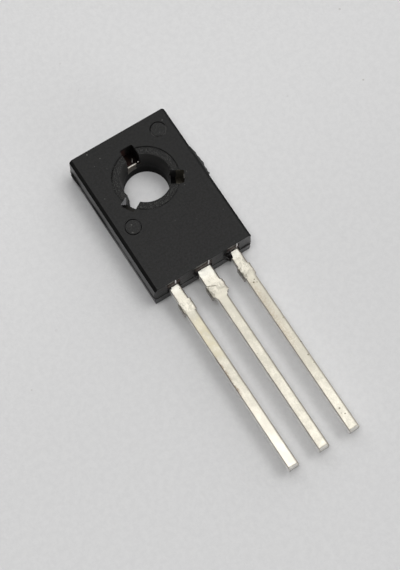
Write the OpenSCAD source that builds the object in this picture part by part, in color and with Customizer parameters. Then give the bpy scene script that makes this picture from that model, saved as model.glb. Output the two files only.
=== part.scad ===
// Power transistor in a fully moulded three-lead package, with a screw hole through the moulding.
// The origin is on the axis of the screw hole, at the back face. +Z points out of the front face,
// +X runs across the leads and the leads point along -Y.

/* [Moulding] */
// Width of the moulding at the parting line
body_width = 7.5; // [7.4:0.1:8]
// Length of the moulding at the parting line
body_length = 10.9; // [10.7:0.1:11.5]
// Thickness from the back face to the front face
body_thickness = 2.6; // [2.5:0.05:2.9]
// Height of the parting line above the back face
parting_height = 1.2; // [1.1:0.05:1.3]
// Draft of each wall from the parting line down to the back face
back_draft = 0.09; // [0.04:0.01:0.14]
// Draft of each wall from the parting line up to the front face
front_draft = 0.05; // [0.02:0.01:0.1]
// Step between the two halves of the mould at the parting line
parting_ledge = 0.03; // [0.01:0.01:0.05]
// Width of the chamfer along the two long front edges
chamfer_width = 0.2; // [0.1:0.05:0.3]
// Depth of the chamfer along the two long front edges
chamfer_depth = 0.25; // [0.15:0.05:0.35]
// Radius of the upright corners
corner_radius = 0.25; // [0.15:0.05:0.4]

/* [Screw hole] */
// Diameter of the straight stretch of the hole, behind the parting line
hole_d = 3.1; // [3:0.05:3.25]
// Diameter of the hole at the front face
hole_mouth_d = 3.46; // [3.3:0.02:3.6]
// Distance from the hole's axis to the end of the moulding away from the leads
hole_to_end = 3.75; // [3.6:0.05:4]
// Width of the three notches that open into the hole
notch_width = 0.95; // [0.8:0.05:1.05]
// Distance from the hole's axis to the blind end of each notch
notch_reach = 2.55; // [2.4:0.05:2.65]
// Distance from the hole's axis to the lip that closes the foot of the right notch
notch_start = 1.66; // [1.64:0.01:1.7]
// Height of that lip above the plate
lip_height = 0.3; // [0.1:0.05:0.4]
// Radius of the corners at the blind end of each notch
notch_corner = 0.14; // [0.05:0.01:0.2]
// Diameter of the round wall at the end of the notch that runs through to the back face
slot_wall_d = 3.8; // [3.7:0.02:3.9]
// Diameter of the matt ring round the hole
ring_d = 4.56; // [4.3:0.02:4.7]
// Depth of the matt ring below the front face
ring_depth = 0.04; // [0.02:0.01:0.08]

/* [Mould marks] */
// Diameter of the two round pin marks on the front face
pin_mark_d = 1.14; // [0.9:0.02:1.3]
// Width of the groove that outlines the pin marks and the matt ring
groove_width = 0.07; // [0.04:0.01:0.1]
// Depth of that groove
groove_depth = 0.05; // [0.03:0.01:0.08]
// Distance of the pin marks from the hole's axis, along X and along Y
pin_mark_offset = 2.53; // [2.45:0.01:2.6]
// Length of the broken gate on the right side
gate_length = 3.4; // [2.6:0.2:4.2]
// Furthest reach of the broken gate from the wall
gate_reach = 0.32; // [0.2:0.02:0.4]
// Thickness of the gate
gate_thickness = 0.5; // [0.3:0.05:0.7]
// Thickness of the flash along the parting line on the left side
flash_thickness = 0.07; // [0.05:0.01:0.1]
// Width of the resin scrap beside the root of the right lead
scrap_width = 0.42; // [0.2:0.02:0.5]
// Furthest reach of that scrap from the moulding
scrap_reach = 0.3; // [0.1:0.02:0.4]
// Height of the scraps above the parting line
scrap_height = 0.5; // [0.2:0.05:0.54]

/* [Leads] */
// Distance between neighbouring leads
lead_pitch = 2.29; // [2.2:0.01:2.4]
// Width of a lead
lead_width = 0.72; // [0.65:0.01:0.85]
// Thickness of the leadframe
lead_thickness = 0.55; // [0.5:0.01:0.6]
// Length of the leads from the moulding to their cut ends
lead_length = 14.2; // [12:0.1:16]
// Width of the middle lead's shoulder
shoulder_width = 1.06; // [0.95:0.01:1.15]
// Length of the middle lead's shoulder outside the moulding
shoulder_length = 2; // [1.8:0.1:2.4]
// Length of the taper from the shoulder to the lead
taper_length = 0.3; // [0.2:0.05:0.5]
// Radius of the rolled upper left edge of a lead
left_roll = 0.05; // [0.02:0.01:0.1]
// Radius of the rolled upper right edge of a lead
right_roll = 0.16; // [0.04:0.01:0.2]
// Radius of the rolled upper edge at a lead's cut end
end_roll = 0.2; // [0.1:0.02:0.3]
// Distance from the moulding to the cut stubs of the dam bar
dam_bar_start = 1.2; // [1:0.05:1.3]
// Width of the dam bar, seen as the length of each stub
dam_bar_width = 0.85; // [0.6:0.05:0.9]
// Sideways reach of a dam-bar stub beyond its lead
dam_bar_stub = 0.07; // [0.04:0.01:0.12]

/* [Inside] */
// Width of the plate that carries the chip
plate_width = 6; // [5.6:0.1:6.2]
// Distance from the hole's axis to the plate's end near the leads
plate_tail = 4.7; // [4.5:0.05:4.8]
// Distance from the hole's axis to the plate's other end
plate_head = 3.1; // [3:0.05:3.2]
// Diameter of the plate's hole, which clears the moulded wall round the screw
plate_hole_d = 3.98; // [3.92:0.02:4]
// Width of the plate's tab that reaches the hole's wall between the two arms
tab_width = 1.15; // [1.1:0.05:1.3]
// Side of the square chip
die_side = 1.7; // [1.2:0.1:1.9]
// Thickness of the chip
die_thickness = 0.25; // [0.2:0.01:0.3]
// Thickness of the solder under the chip
solder_thickness = 0.05; // [0.03:0.01:0.08]
// Width of a bond post's head
post_width = 1.9; // [1.6:0.1:2]
// Length of a bond post's head
post_length = 1.2; // [1:0.1:1.3]
// Diameter of the emitter's bond wire
emitter_wire_d = 0.25; // [0.2:0.01:0.3]
// Diameter of the base's bond wire
base_wire_d = 0.2; // [0.15:0.01:0.25]
// Rise of a bond wire above its feet
wire_rise = 0.42; // [0.3:0.02:0.5]

/* [Hidden] */
$fn = 96;

// Overlap of pieces that are joined, and excess of shapes that are cut away
join = 0.1;
cut = 0.5;

wall_y = hole_to_end - body_length;
half_width = body_width / 2;
lead_bottom = parting_height;
lead_top = lead_bottom + lead_thickness;
lead_end = wall_y - lead_length;
shoulder_end = wall_y - shoulder_length;
// The plate lies lower than the leads, so that the chip's face is level with the bond posts
plate_top = lead_top - solder_thickness - die_thickness;
plate_bottom = plate_top - lead_thickness;
plate_corner = 0.5;
tab_face = hole_d / 2 + 0.03;
// The step from the plate up to the middle lead, as distances from the hole's axis
step_low = plate_tail + 0.25;
step_high = plate_tail + 0.75;
// The bond posts end inside the moulding, on both sides of the middle lead
post_tail = -wall_y - 0.75;
post_head = post_tail - post_length;
post_inner_x = shoulder_width / 2 + 0.35;
die_y = -(plate_hole_d / 2 + plate_tail) / 2;
solder_margin = 0.08;
// Feet of the bond wires: on the chip from its centre, on the post from its inner side
chip_foot_x = 0.22 * die_side;
chip_foot_y = 0.2 * die_side;
post_foot_x = 0.55 * post_width;
wire_foot = 0.3;
wire_sides = 32;
// The broken gate: its lower part reaches its full way out and the part above stays back
gate_points = 24;
gate_low_share = 0.55;
gate_back_share = 0.72;
gate_sink = 0.03;
// Size of the scrap at the middle lead as a share of the one at the right lead
scrap_share = 0.7;
moulding_colour = [0.2, 0.2, 0.2];
tinned_colour = [0.86, 0.84, 0.76];
silicon_colour = [0.36, 0.38, 0.42];
solder_colour = [0.55, 0.55, 0.56];
wire_colour = [0.82, 0.83, 0.84];

// ---- shared shapes ----

// Half of a wall's section, from the back face up to the front face
function wall_side(half, chamfer) = [
    [half - back_draft, 0],
    [half - parting_ledge, parting_height],
    [half, parting_height],
    [half - front_draft, body_thickness - (chamfer > 0 ? chamfer_depth : 0)],
    if (chamfer > 0) [half - front_draft - chamfer, body_thickness]
];

// Both sides of a section: the right side upwards, then the left side downwards
function mirrored(side) = concat(side, [for (i = [len(side) - 1 : -1 : 0]) [-side[i][0], side[i][1]]]);

// Section of a lead from its lower side up, with its two upper corners rolled by the stamping
module rolled_section(width) {
    half = width / 2;
    height = lead_thickness;
    translate([-half, 0]) square([half, height - left_roll]);
    translate([-half + left_roll, 0]) square([half - left_roll, height]);
    translate([-half + left_roll, height - left_roll]) circle(r = left_roll);
    square([half, height - right_roll]);
    translate([-join, 0]) square([half - right_roll + join, height]);
    translate([half - right_roll, height - right_roll]) circle(r = right_roll);
}

// Extrudes a section drawn in X and Z along the lead direction, between two places on Y
module along_y(y_from, y_to) {
    translate([0, y_to, 0]) rotate([90, 0, 0]) linear_extrude(y_to - y_from) children();
}

// Extrudes an outline drawn in Y and Z across the part
module across_x(x_from, x_to) {
    translate([x_from, 0, 0]) rotate([90, 0, 90]) linear_extrude(x_to - x_from) children();
}

// ---- moulding ----

// Drafted block: the sections along and across meet in sharp drafted edges, then the corners are rounded
module moulded_block() {
    middle_y = hole_to_end - body_length / 2;
    intersection() {
        along_y(wall_y - cut, hole_to_end + cut) polygon(mirrored(wall_side(half_width, chamfer_width)));
        across_x(-half_width - cut, half_width + cut)
            translate([middle_y, 0]) polygon(mirrored(wall_side(body_length / 2, 0)));
        translate([0, middle_y, 0]) linear_extrude(body_thickness) rounded_plan();
    }
}

module rounded_plan() {
    inner = [body_width - 2 * corner_radius, body_length - 2 * corner_radius];
    square([body_width, inner[1]], center = true);
    square([inner[0], body_length], center = true);
    for (x = [-1, 1], y = [-1, 1])
        translate([x * inner[0] / 2, y * inner[1] / 2]) circle(r = corner_radius);
}

// Straight behind the parting line, then widening to the front face
module screw_hole() {
    rotate_extrude() polygon([
        [0, -cut], [hole_d / 2, -cut], [hole_d / 2, parting_height],
        [hole_mouth_d / 2, body_thickness], [hole_mouth_d / 2, body_thickness + cut],
        [0, body_thickness + cut]
    ]);
}

// Outline of a notch from a distance off the hole's axis to its blind end
module notch_outline(start) {
    end_x = notch_reach - notch_corner;
    half = notch_width / 2 - notch_corner;
    translate([start, -notch_width / 2]) square([end_x - start, notch_width]);
    translate([start, -half]) square([notch_reach - start, 2 * half]);
    for (side = [-1, 1]) translate([end_x, side * half]) circle(r = notch_corner);
}

// Notch left by one wing of the core pin, from the plate up through the front face
module wing_notch(lip) {
    height = body_thickness - plate_top + cut;
    translate([0, 0, plate_top]) linear_extrude(height) notch_outline(notch_start);
    translate([0, 0, plate_top + lip]) linear_extrude(height) notch_outline(0);
}

// The wing at the lower left runs on through the back face, inside the plate's hole
module through_slot() {
    intersection() {
        translate([0, -notch_width / 2, -cut]) cube([notch_reach, notch_width, plate_top + 2 * cut]);
        translate([0, 0, -cut]) cylinder(d = slot_wall_d, h = plate_top + 2 * cut);
    }
}

// Groove that the joint round a mould insert leaves on the front face
module witness_groove(outer_d, depth) {
    translate([0, 0, body_thickness - depth]) difference() {
        cylinder(d = outer_d, h = cut);
        translate([0, 0, -cut]) cylinder(d = outer_d - 2 * groove_width, h = 3 * cut);
    }
}

module ring_recess() {
    translate([0, 0, body_thickness - ring_depth]) cylinder(d = ring_d - groove_width, h = cut);
    witness_groove(ring_d, ring_depth + groove_depth / 2);
}

module pin_marks() {
    for (side = [-1, 1])
        translate([side * pin_mark_offset, side * pin_mark_offset, 0]) witness_groove(pin_mark_d, groove_depth);
}

// Reach of the broken gate at a fraction of its length: thin at first, then a ragged hump
function gate_profile(t) =
    gate_reach * pow(sin(180 * pow(t, 1.5)), 0.8) * (0.88 + 0.09 * sin(1150 * t) + 0.06 * sin(2630 * t));

// One layer of the gate, from the parting line up; share is its share of the full reach
module gate_layer(height, share) {
    start_y = gate_length / 2;
    translate([0, 0, parting_height]) linear_extrude(height)
        polygon(concat(
            [[half_width - join, -start_y], [half_width - join, start_y]],
            [for (i = [0 : gate_points])
                let (t = i / gate_points)
                [half_width - gate_sink + share * gate_profile(t), start_y - t * gate_length]]
        ));
}

module broken_gate() {
    gate_layer(gate_thickness * gate_low_share, 1);
    gate_layer(gate_thickness, gate_back_share);
}

// Thin flash that the two halves of the mould let out on the left, with its reach at a few places
module parting_flash() {
    reach = [[3.45, 0.02], [3.3, 0.12], [2.95, 0.13], [2.5, 0.09], [2.2, 0.04], [1, 0.03], [0.4, 0.07],
             [-0.6, 0.08], [-1.3, 0.03], [-2.7, 0.02]];
    translate([0, 0, parting_height]) linear_extrude(flash_thickness)
        polygon(concat(
            [for (p = reach) [-half_width - p[1], p[0]]],
            [[-half_width + join, reach[len(reach) - 1][0]], [-half_width + join, reach[0][0]]]
        ));
}

// Scrap of flash left beside a lead's root, reaching furthest next to the lead
module root_scrap(lead_side_x, share) {
    width = scrap_width * share;
    reach = scrap_reach * share;
    translate([0, 0, parting_height]) linear_extrude(scrap_height)
        polygon([
            [lead_side_x + join, wall_y + join], [lead_side_x - width, wall_y + join],
            [lead_side_x - width, wall_y], [lead_side_x - width * scrap_share, wall_y - reach / 2],
            [lead_side_x, wall_y - reach], [lead_side_x + join, wall_y - reach]
        ]);
}

module body() {
    color(moulding_colour) difference() {
        union() {
            moulded_block();
            broken_gate();
            parting_flash();
            root_scrap(lead_pitch - lead_width / 2, 1);
            root_scrap(-shoulder_width / 2, scrap_share);
        }
        screw_hole();
        ring_recess();
        pin_marks();
        rotate([0, 0, 90]) wing_notch(0);
        rotate([0, 0, 210]) wing_notch(0);
        rotate([0, 0, 330]) wing_notch(lip_height);
        rotate([0, 0, 210]) through_slot();
        collector_frame();
        bonded_lead(-1);
        bonded_lead(1);
        die_block();
        solder_block();
        bond_wire(-1, emitter_wire_d);
        bond_wire(1, base_wire_d);
    }
}

// ---- leads ----

// Straight lead with rolled upper edges, ending in a sheared tip whose upper edge is rolled over
module lead_bar(y_start) {
    intersection() {
        translate([0, 0, lead_bottom]) along_y(lead_end - cut, y_start) rolled_section(lead_width);
        across_x(-lead_width, lead_width) {
            translate([lead_end, lead_bottom]) square([y_start - lead_end, lead_thickness - end_roll]);
            translate([lead_end + end_roll, lead_bottom]) square([y_start - lead_end, lead_thickness]);
            translate([lead_end + end_roll, lead_top - end_roll]) circle(r = end_roll);
        }
    }
}

// Stubs left on both sides of a lead where the dam bar was sheared off
module dam_bar_stubs(width) {
    start_y = wall_y - dam_bar_start;
    translate([0, 0, lead_bottom])
        along_y(start_y - dam_bar_width, start_y) rolled_section(width + 2 * dam_bar_stub);
}

// Outer lead with the head that takes the bond wire; side is -1 for the left lead, 1 for the right
module bonded_lead(side) {
    head_x = side > 0 ? post_inner_x : -post_inner_x - post_width;
    translate([side * lead_pitch, 0, 0]) {
        lead_bar(-post_tail + join);
        dam_bar_stubs(lead_width);
    }
    translate([head_x, -post_tail, lead_bottom]) cube([post_width, post_length, lead_thickness]);
}

// Outline of the plate: a rectangle with cut corners and a hole with a tab on the side away from the leads
module plate_outline() {
    half = plate_width / 2;
    difference() {
        polygon([
            [-half, -plate_tail + plate_corner], [-half + plate_corner, -plate_tail],
            [half - plate_corner, -plate_tail], [half, -plate_tail + plate_corner],
            [half, plate_head - plate_corner], [half - plate_corner, plate_head],
            [-half + plate_corner, plate_head], [-half, plate_head - plate_corner]
        ]);
        difference() {
            circle(d = plate_hole_d);
            translate([-tab_width / 2, 0]) square([tab_width, plate_hole_d]);
        }
        circle(r = tab_face);
    }
}

// Neck between the plate and the middle lead, stepped up to the height of the leads
module collector_neck() {
    across_x(-shoulder_width / 2, shoulder_width / 2) polygon([
        [wall_y + join, lead_bottom], [-step_high, lead_bottom], [-step_low, plate_bottom],
        [-plate_tail + join, plate_bottom], [-plate_tail + join, plate_top], [-step_low, plate_top],
        [-step_high, lead_top], [wall_y + join, lead_top]
    ]);
}

// Shoulder outside the moulding and its taper down to the width of a lead
module collector_shoulder() {
    wide = shoulder_width / 2;
    narrow = lead_width / 2;
    taper_end = shoulder_end - taper_length;
    translate([0, 0, lead_bottom]) {
        along_y(shoulder_end, wall_y + 2 * join) rolled_section(shoulder_width);
        linear_extrude(lead_thickness) polygon([
            [-wide, shoulder_end], [wide, shoulder_end], [narrow, taper_end], [-narrow, taper_end]
        ]);
    }
}

module collector_frame() {
    translate([0, 0, plate_bottom]) linear_extrude(lead_thickness) plate_outline();
    collector_neck();
    collector_shoulder();
    dam_bar_stubs(shoulder_width);
    lead_bar(shoulder_end);
}

module collector_lead() {
    color(tinned_colour) collector_frame();
}

module emitter_lead() {
    color(tinned_colour) bonded_lead(-1);
}

module base_lead() {
    color(tinned_colour) bonded_lead(1);
}

// ---- chip and bonds ----

module die_block() {
    translate([-die_side / 2, die_y - die_side / 2, plate_top + solder_thickness])
        cube([die_side, die_side, die_thickness]);
}

module solder_block() {
    side = die_side + 2 * solder_margin;
    translate([-side / 2, die_y - side / 2, plate_top]) cube([side, side, solder_thickness]);
}

module silicon_die() {
    color(silicon_colour) die_block();
}

module die_solder() {
    color(solder_colour) solder_block();
}

// Arched wire from the chip to a post, with both feet pressed flat against their pads
module bond_wire(side, wire_d) {
    chip_foot = [side * chip_foot_x, die_y - chip_foot_y];
    post_foot = [side * (post_inner_x + post_foot_x), -(post_tail + post_head) / 2];
    run = post_foot - chip_foot;
    span = norm(run);
    bend = (span * span / 4 + wire_rise * wire_rise) / (2 * wire_rise);
    half_angle = asin(span / (2 * bend));
    translate([chip_foot[0], chip_foot[1], 0]) rotate([0, 0, atan2(run[1], run[0])]) difference() {
        union() {
            translate([span / 2, 0, lead_top + wire_rise - bend]) rotate([90, 0, 0])
                rotate([0, 0, 90 - half_angle]) rotate_extrude(angle = 2 * half_angle)
                    translate([bend, 0]) circle(d = wire_d, $fn = wire_sides);
            for (x = [0, span])
                translate([x - wire_foot / 2, 0, lead_top]) rotate([0, 90, 0])
                    cylinder(d = wire_d, h = wire_foot, $fn = wire_sides);
        }
        translate([-cut, -cut, lead_top - 2 * cut]) cube([span + 2 * cut, 2 * cut, 2 * cut]);
    }
}

module emitter_wire() {
    color(wire_colour) bond_wire(-1, emitter_wire_d);
}

module base_wire() {
    color(wire_colour) bond_wire(1, base_wire_d);
}

body();
collector_lead();
emitter_lead();
base_lead();
silicon_die();
die_solder();
emitter_wire();
base_wire();
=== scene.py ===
"""Looks of a power transistor that lies on its back on a pale card under soft studio light.

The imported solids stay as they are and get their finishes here. Around them this file adds what a
moulding tool, a press and a tin bath leave on such a part: the tin coat of the leads, the broken
gate and flash, the rough ring round the screw hole and the scraps of resin at the lead roots.
Sizes in the classes are in millimetres, in the part's own frame, and meshes are written in metres.
In the finishes, x runs across the leads, y along them and z up from the back face.
"""
import logging
import math
from dataclasses import dataclass
from enum import Enum
from typing import Any, Union

import bpy
import numpy as np
from mathutils import Matrix, Vector


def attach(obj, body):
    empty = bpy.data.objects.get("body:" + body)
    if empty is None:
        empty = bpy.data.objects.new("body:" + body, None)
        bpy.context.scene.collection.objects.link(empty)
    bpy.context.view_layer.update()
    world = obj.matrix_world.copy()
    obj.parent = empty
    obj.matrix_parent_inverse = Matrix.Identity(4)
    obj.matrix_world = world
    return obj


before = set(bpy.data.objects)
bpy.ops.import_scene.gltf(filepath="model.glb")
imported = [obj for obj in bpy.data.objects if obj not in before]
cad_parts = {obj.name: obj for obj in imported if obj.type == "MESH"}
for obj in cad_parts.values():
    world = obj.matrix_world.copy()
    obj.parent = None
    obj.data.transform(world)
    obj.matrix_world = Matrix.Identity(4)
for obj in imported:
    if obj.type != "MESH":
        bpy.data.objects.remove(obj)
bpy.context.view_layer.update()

MM = 0.001
LATTICE_FACTORS = (374761393, 668265263, 2246822519)
LATTICE_SEED_FACTOR = 3266489917
LATTICE_MIX_FACTOR = 1274126177
LOW_16_BITS = 0xFFFF
LOW_32_BITS = 0xFFFFFFFF
LOG = logging.getLogger("power_transistor")

Material = bpy.types.Material
Piece = bpy.types.Object
Tree = bpy.types.NodeTree
Socket = bpy.types.NodeSocket
Value = Union[float, int, tuple, Socket]
Numbers = Union[float, np.ndarray]


# Numbers on whole arrays


def lattice_values(corner: np.ndarray, seed: int) -> np.ndarray:
    """Gives each whole-number lattice corner its own value between -1 and 1.

    Formula: the three corner numbers are multiplied by large odd numbers, added, and their bits
    are mixed by shifts and one more multiplication; the low 16 bits, scaled, are the value.

    Args:
        corner: whole numbers, shape (n, 3).
        seed: picks one of many unlike sets of values.

    Returns:
        One value for each corner, shape (n,).
    """
    mask = np.uint64(LOW_32_BITS)
    whole = (corner.astype(np.int64) & LOW_32_BITS).astype(np.uint64)
    mixed = (whole * np.array(LATTICE_FACTORS, dtype=np.uint64)).sum(axis=1)
    mixed = (mixed + np.uint64(seed * LATTICE_SEED_FACTOR)) & mask
    mixed = ((mixed ^ (mixed >> np.uint64(13))) * np.uint64(LATTICE_MIX_FACTOR)) & mask
    mixed = mixed ^ (mixed >> np.uint64(16))
    return (mixed & np.uint64(LOW_16_BITS)).astype(float) / (LOW_16_BITS / 2) - 1.0


def smooth_noise(points: np.ndarray, seed: int) -> np.ndarray:
    """Works out smooth noise with features one unit across.

    Formula: the values of the eight lattice corners round a point are blended along each axis by
    3t^2 - 2t^3, where t is the point's fraction between two corners.

    Args:
        points: places, shape (..., 3).
        seed: picks the set of corner values.

    Returns:
        Noise between -1 and 1, shaped as the points without their last axis.
    """
    flat = points.reshape(-1, 3)
    low = np.floor(flat)
    part = flat - low
    blend = part * part * (3 - 2 * part)
    total = np.zeros(len(flat))
    for step in np.ndindex(2, 2, 2):
        shift = np.array(step)
        weight = np.prod(np.where(shift == 1, blend, 1 - blend), axis=1)
        total += weight * lattice_values(low + shift, seed)
    return total.reshape(points.shape[:-1])


def layered_noise(points: np.ndarray, size: float, seed: int, layers: int = 3) -> np.ndarray:
    """Adds layers of smooth noise, each half the size and half the height of the one before.

    Args:
        points: places in millimetres, shape (..., 3).
        size: width of the largest features in millimetres.
        seed: picks the set of corner values.
        layers: number of layers.

    Returns:
        Noise of about -1 to 1, shaped as the points without their last axis.
    """
    total = np.zeros(points.shape[:-1])
    height = 1.0
    for layer in range(layers):
        total += height * smooth_noise(points / size * 2 ** layer + 17.3 * layer, seed + layer)
        height *= 0.5
    return total / (2 - 2 * height)


def rise(value: np.ndarray, start: float, end: float) -> np.ndarray:
    """Goes smoothly from 0 at start to 1 at end, as 3t^2 - 2t^3 of the fraction t between them."""
    part = np.clip((value - start) / (end - start), 0, 1)
    return part * part * (3 - 2 * part)


def triples(x: Numbers, y: Numbers, z: Numbers) -> np.ndarray:
    """Joins three arrays or numbers into points, shape (..., 3)."""
    return np.stack(np.broadcast_arrays(x, y, z), axis=-1)


def ring_quads(rows: int, columns: int, closed: bool) -> np.ndarray:
    """Lists the quads of a grid of points that is numbered row by row.

    Formula: quad (r, c) joins points (r, c), (r, c+1), (r+1, c+1) and (r+1, c); in a closed grid
    the last column is followed by the first.

    Args:
        rows: number of rows.
        columns: number of points in a row.
        closed: whether the rows are rings.

    Returns:
        Point numbers, shape (quads, 4).
    """
    across = columns if closed else columns - 1
    row, column = np.meshgrid(np.arange(rows - 1), np.arange(across), indexing="ij")
    after = (column + 1) % columns
    quads = np.stack([row * columns + column, row * columns + after,
                      (row + 1) * columns + after, (row + 1) * columns + column], axis=-1)
    return quads.reshape(-1, 4)


def capped_rings(points: np.ndarray) -> tuple[np.ndarray, list[np.ndarray]]:
    """Closes a stack of rings into a solid skin.

    Formula: neighbouring rings are joined by quads, and each end ring is joined by triangles to
    the mean of its points.

    Args:
        points: rings of points, shape (rings, points in a ring, 3).

    Returns:
        The points, shape (n, 3), and the faces as a list of arrays of quads and triangles.
    """
    rings, count = points.shape[:2]
    ends = [points[:1].mean(axis=1), points[-1:].mean(axis=1)]
    flat = np.concatenate([points.reshape(-1, 3), *ends])
    here = np.arange(count)
    after = (here + 1) % count
    first = np.stack([np.full(count, rings * count), after, here], axis=1)
    base = (rings - 1) * count
    last = np.stack([np.full(count, rings * count + 1), base + here, base + after], axis=1)
    return flat, [ring_quads(rings, count, closed=True), first, last]


def signed_volume(points: np.ndarray, faces: list[np.ndarray]) -> float:
    """Tells which way the faces of a closed skin point.

    Formula: each face is fanned into triangles, and the volumes of the tetrahedra between them and
    the origin are added; the sum is positive when the faces point outwards.

    Args:
        points: the points, shape (n, 3).
        faces: blocks of faces, each of shape (faces, corners).

    Returns:
        The volume with its sign.
    """
    total = 0.0
    for block in faces:
        for corner in range(1, block.shape[1] - 1):
            a, b, c = points[block[:, 0]], points[block[:, corner]], points[block[:, corner + 1]]
            total += float(np.einsum("ij,ij->", a, np.cross(b, c))) / 6
    return total


def build_piece(name: str, points: np.ndarray, faces: list[np.ndarray], finish: Material,
                sharp_angle: float = 50.0) -> Piece:
    """Makes one closed piece of the part from whole arrays and lets it ride on the part.

    Args:
        name: the object's name.
        points: places in millimetres, shape (n, 3).
        faces: blocks of faces, each of shape (faces, corners).
        finish: the material.
        sharp_angle: edges that turn by more than this many degrees stay sharp.

    Returns:
        The object, which sits at the origin with its place in its mesh.
    """
    if signed_volume(points, faces) < 0:
        faces = [block[:, ::-1] for block in faces]
    sizes = np.concatenate([np.full(len(block), block.shape[1]) for block in faces])
    corners = np.concatenate([block.reshape(-1) for block in faces]).astype(np.int32)
    mesh = bpy.data.meshes.new(name)
    mesh.vertices.add(len(points))
    mesh.vertices.foreach_set("co", (points * MM).astype(np.float32).ravel())
    mesh.loops.add(len(corners))
    mesh.loops.foreach_set("vertex_index", corners)
    mesh.polygons.add(len(sizes))
    mesh.polygons.foreach_set("loop_start", (np.cumsum(sizes) - sizes).astype(np.int32))
    mesh.polygons.foreach_set("loop_total", sizes.astype(np.int32))
    mesh.polygons.foreach_set("use_smooth", np.ones(len(sizes), dtype=bool))
    mesh.update(calc_edges=True)
    mesh.validate()
    mesh.set_sharp_from_angle(angle=math.radians(sharp_angle))
    mesh.materials.append(finish)
    piece = bpy.data.objects.new(name, mesh)
    bpy.context.scene.collection.objects.link(piece)
    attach(piece, "root")
    LOG.info("%s: %d faces", name, len(sizes))
    return piece


def build_slab(name: str, top: np.ndarray, under: np.ndarray,
               finish: Material) -> Piece:
    """Closes an upper and a lower grid of points into a slab and makes it a piece of the part.

    Formula: both grids are covered with quads, the lower one the other way round, and a strip of
    quads runs round the rim between them.

    Args:
        name: the object's name.
        top: upper grid, shape (rows, columns, 3).
        under: lower grid of the same shape.
        finish: the material.

    Returns:
        The object.
    """
    rows, columns = top.shape[:2]
    upper = ring_quads(rows, columns, closed=False)
    lower = upper[:, ::-1] + rows * columns
    grid = np.arange(rows * columns).reshape(rows, columns)
    rim = np.concatenate([grid[0, :-1], grid[:-1, -1], grid[-1, :0:-1], grid[:0:-1, 0]])
    after = np.roll(rim, -1)
    wall = np.stack([after, rim, rim + rows * columns, after + rows * columns], axis=1)
    points = np.concatenate([top.reshape(-1, 3), under.reshape(-1, 3)])
    return build_piece(name, points, [upper, lower, wall], finish, 70.0)


def build_strand(name: str, path: np.ndarray, half_width: np.ndarray, half_height: np.ndarray,
                 across: tuple, up: tuple, seed: int, finish: Material) -> Piece:
    """Makes a thin uneven strand along a path, such as a burr or a painted glint.

    Formula: at each station an ellipse of 14 points lies in the plane of the two given directions;
    layered noise moves them along the height by up to half of the strand's half height.

    Args:
        name: the object's name.
        path: middle of the strand at each station, shape (n, 3).
        half_width: half width at each station.
        half_height: half height at each station.
        across: direction of the width.
        up: direction of the height.
        seed: picks the noise.
        finish: the material.

    Returns:
        The object.
    """
    turn = np.linspace(0, 2 * math.pi, 14, endpoint=False)
    side, rise_way = np.array(across, dtype=float), np.array(up, dtype=float)
    wide = half_width[:, None, None] * np.cos(turn)[None, :, None] * side
    high = half_height[:, None, None] * np.sin(turn)[None, :, None] * rise_way
    rings = path[:, None, :] + wide + high
    rings = rings + rise_way * (layered_noise(rings, 0.09, seed) * half_height.max() * 0.5)[..., None]
    points, faces = capped_rings(rings)
    return build_piece(name, points, faces, finish, 60.0)


# Shader nodes


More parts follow.
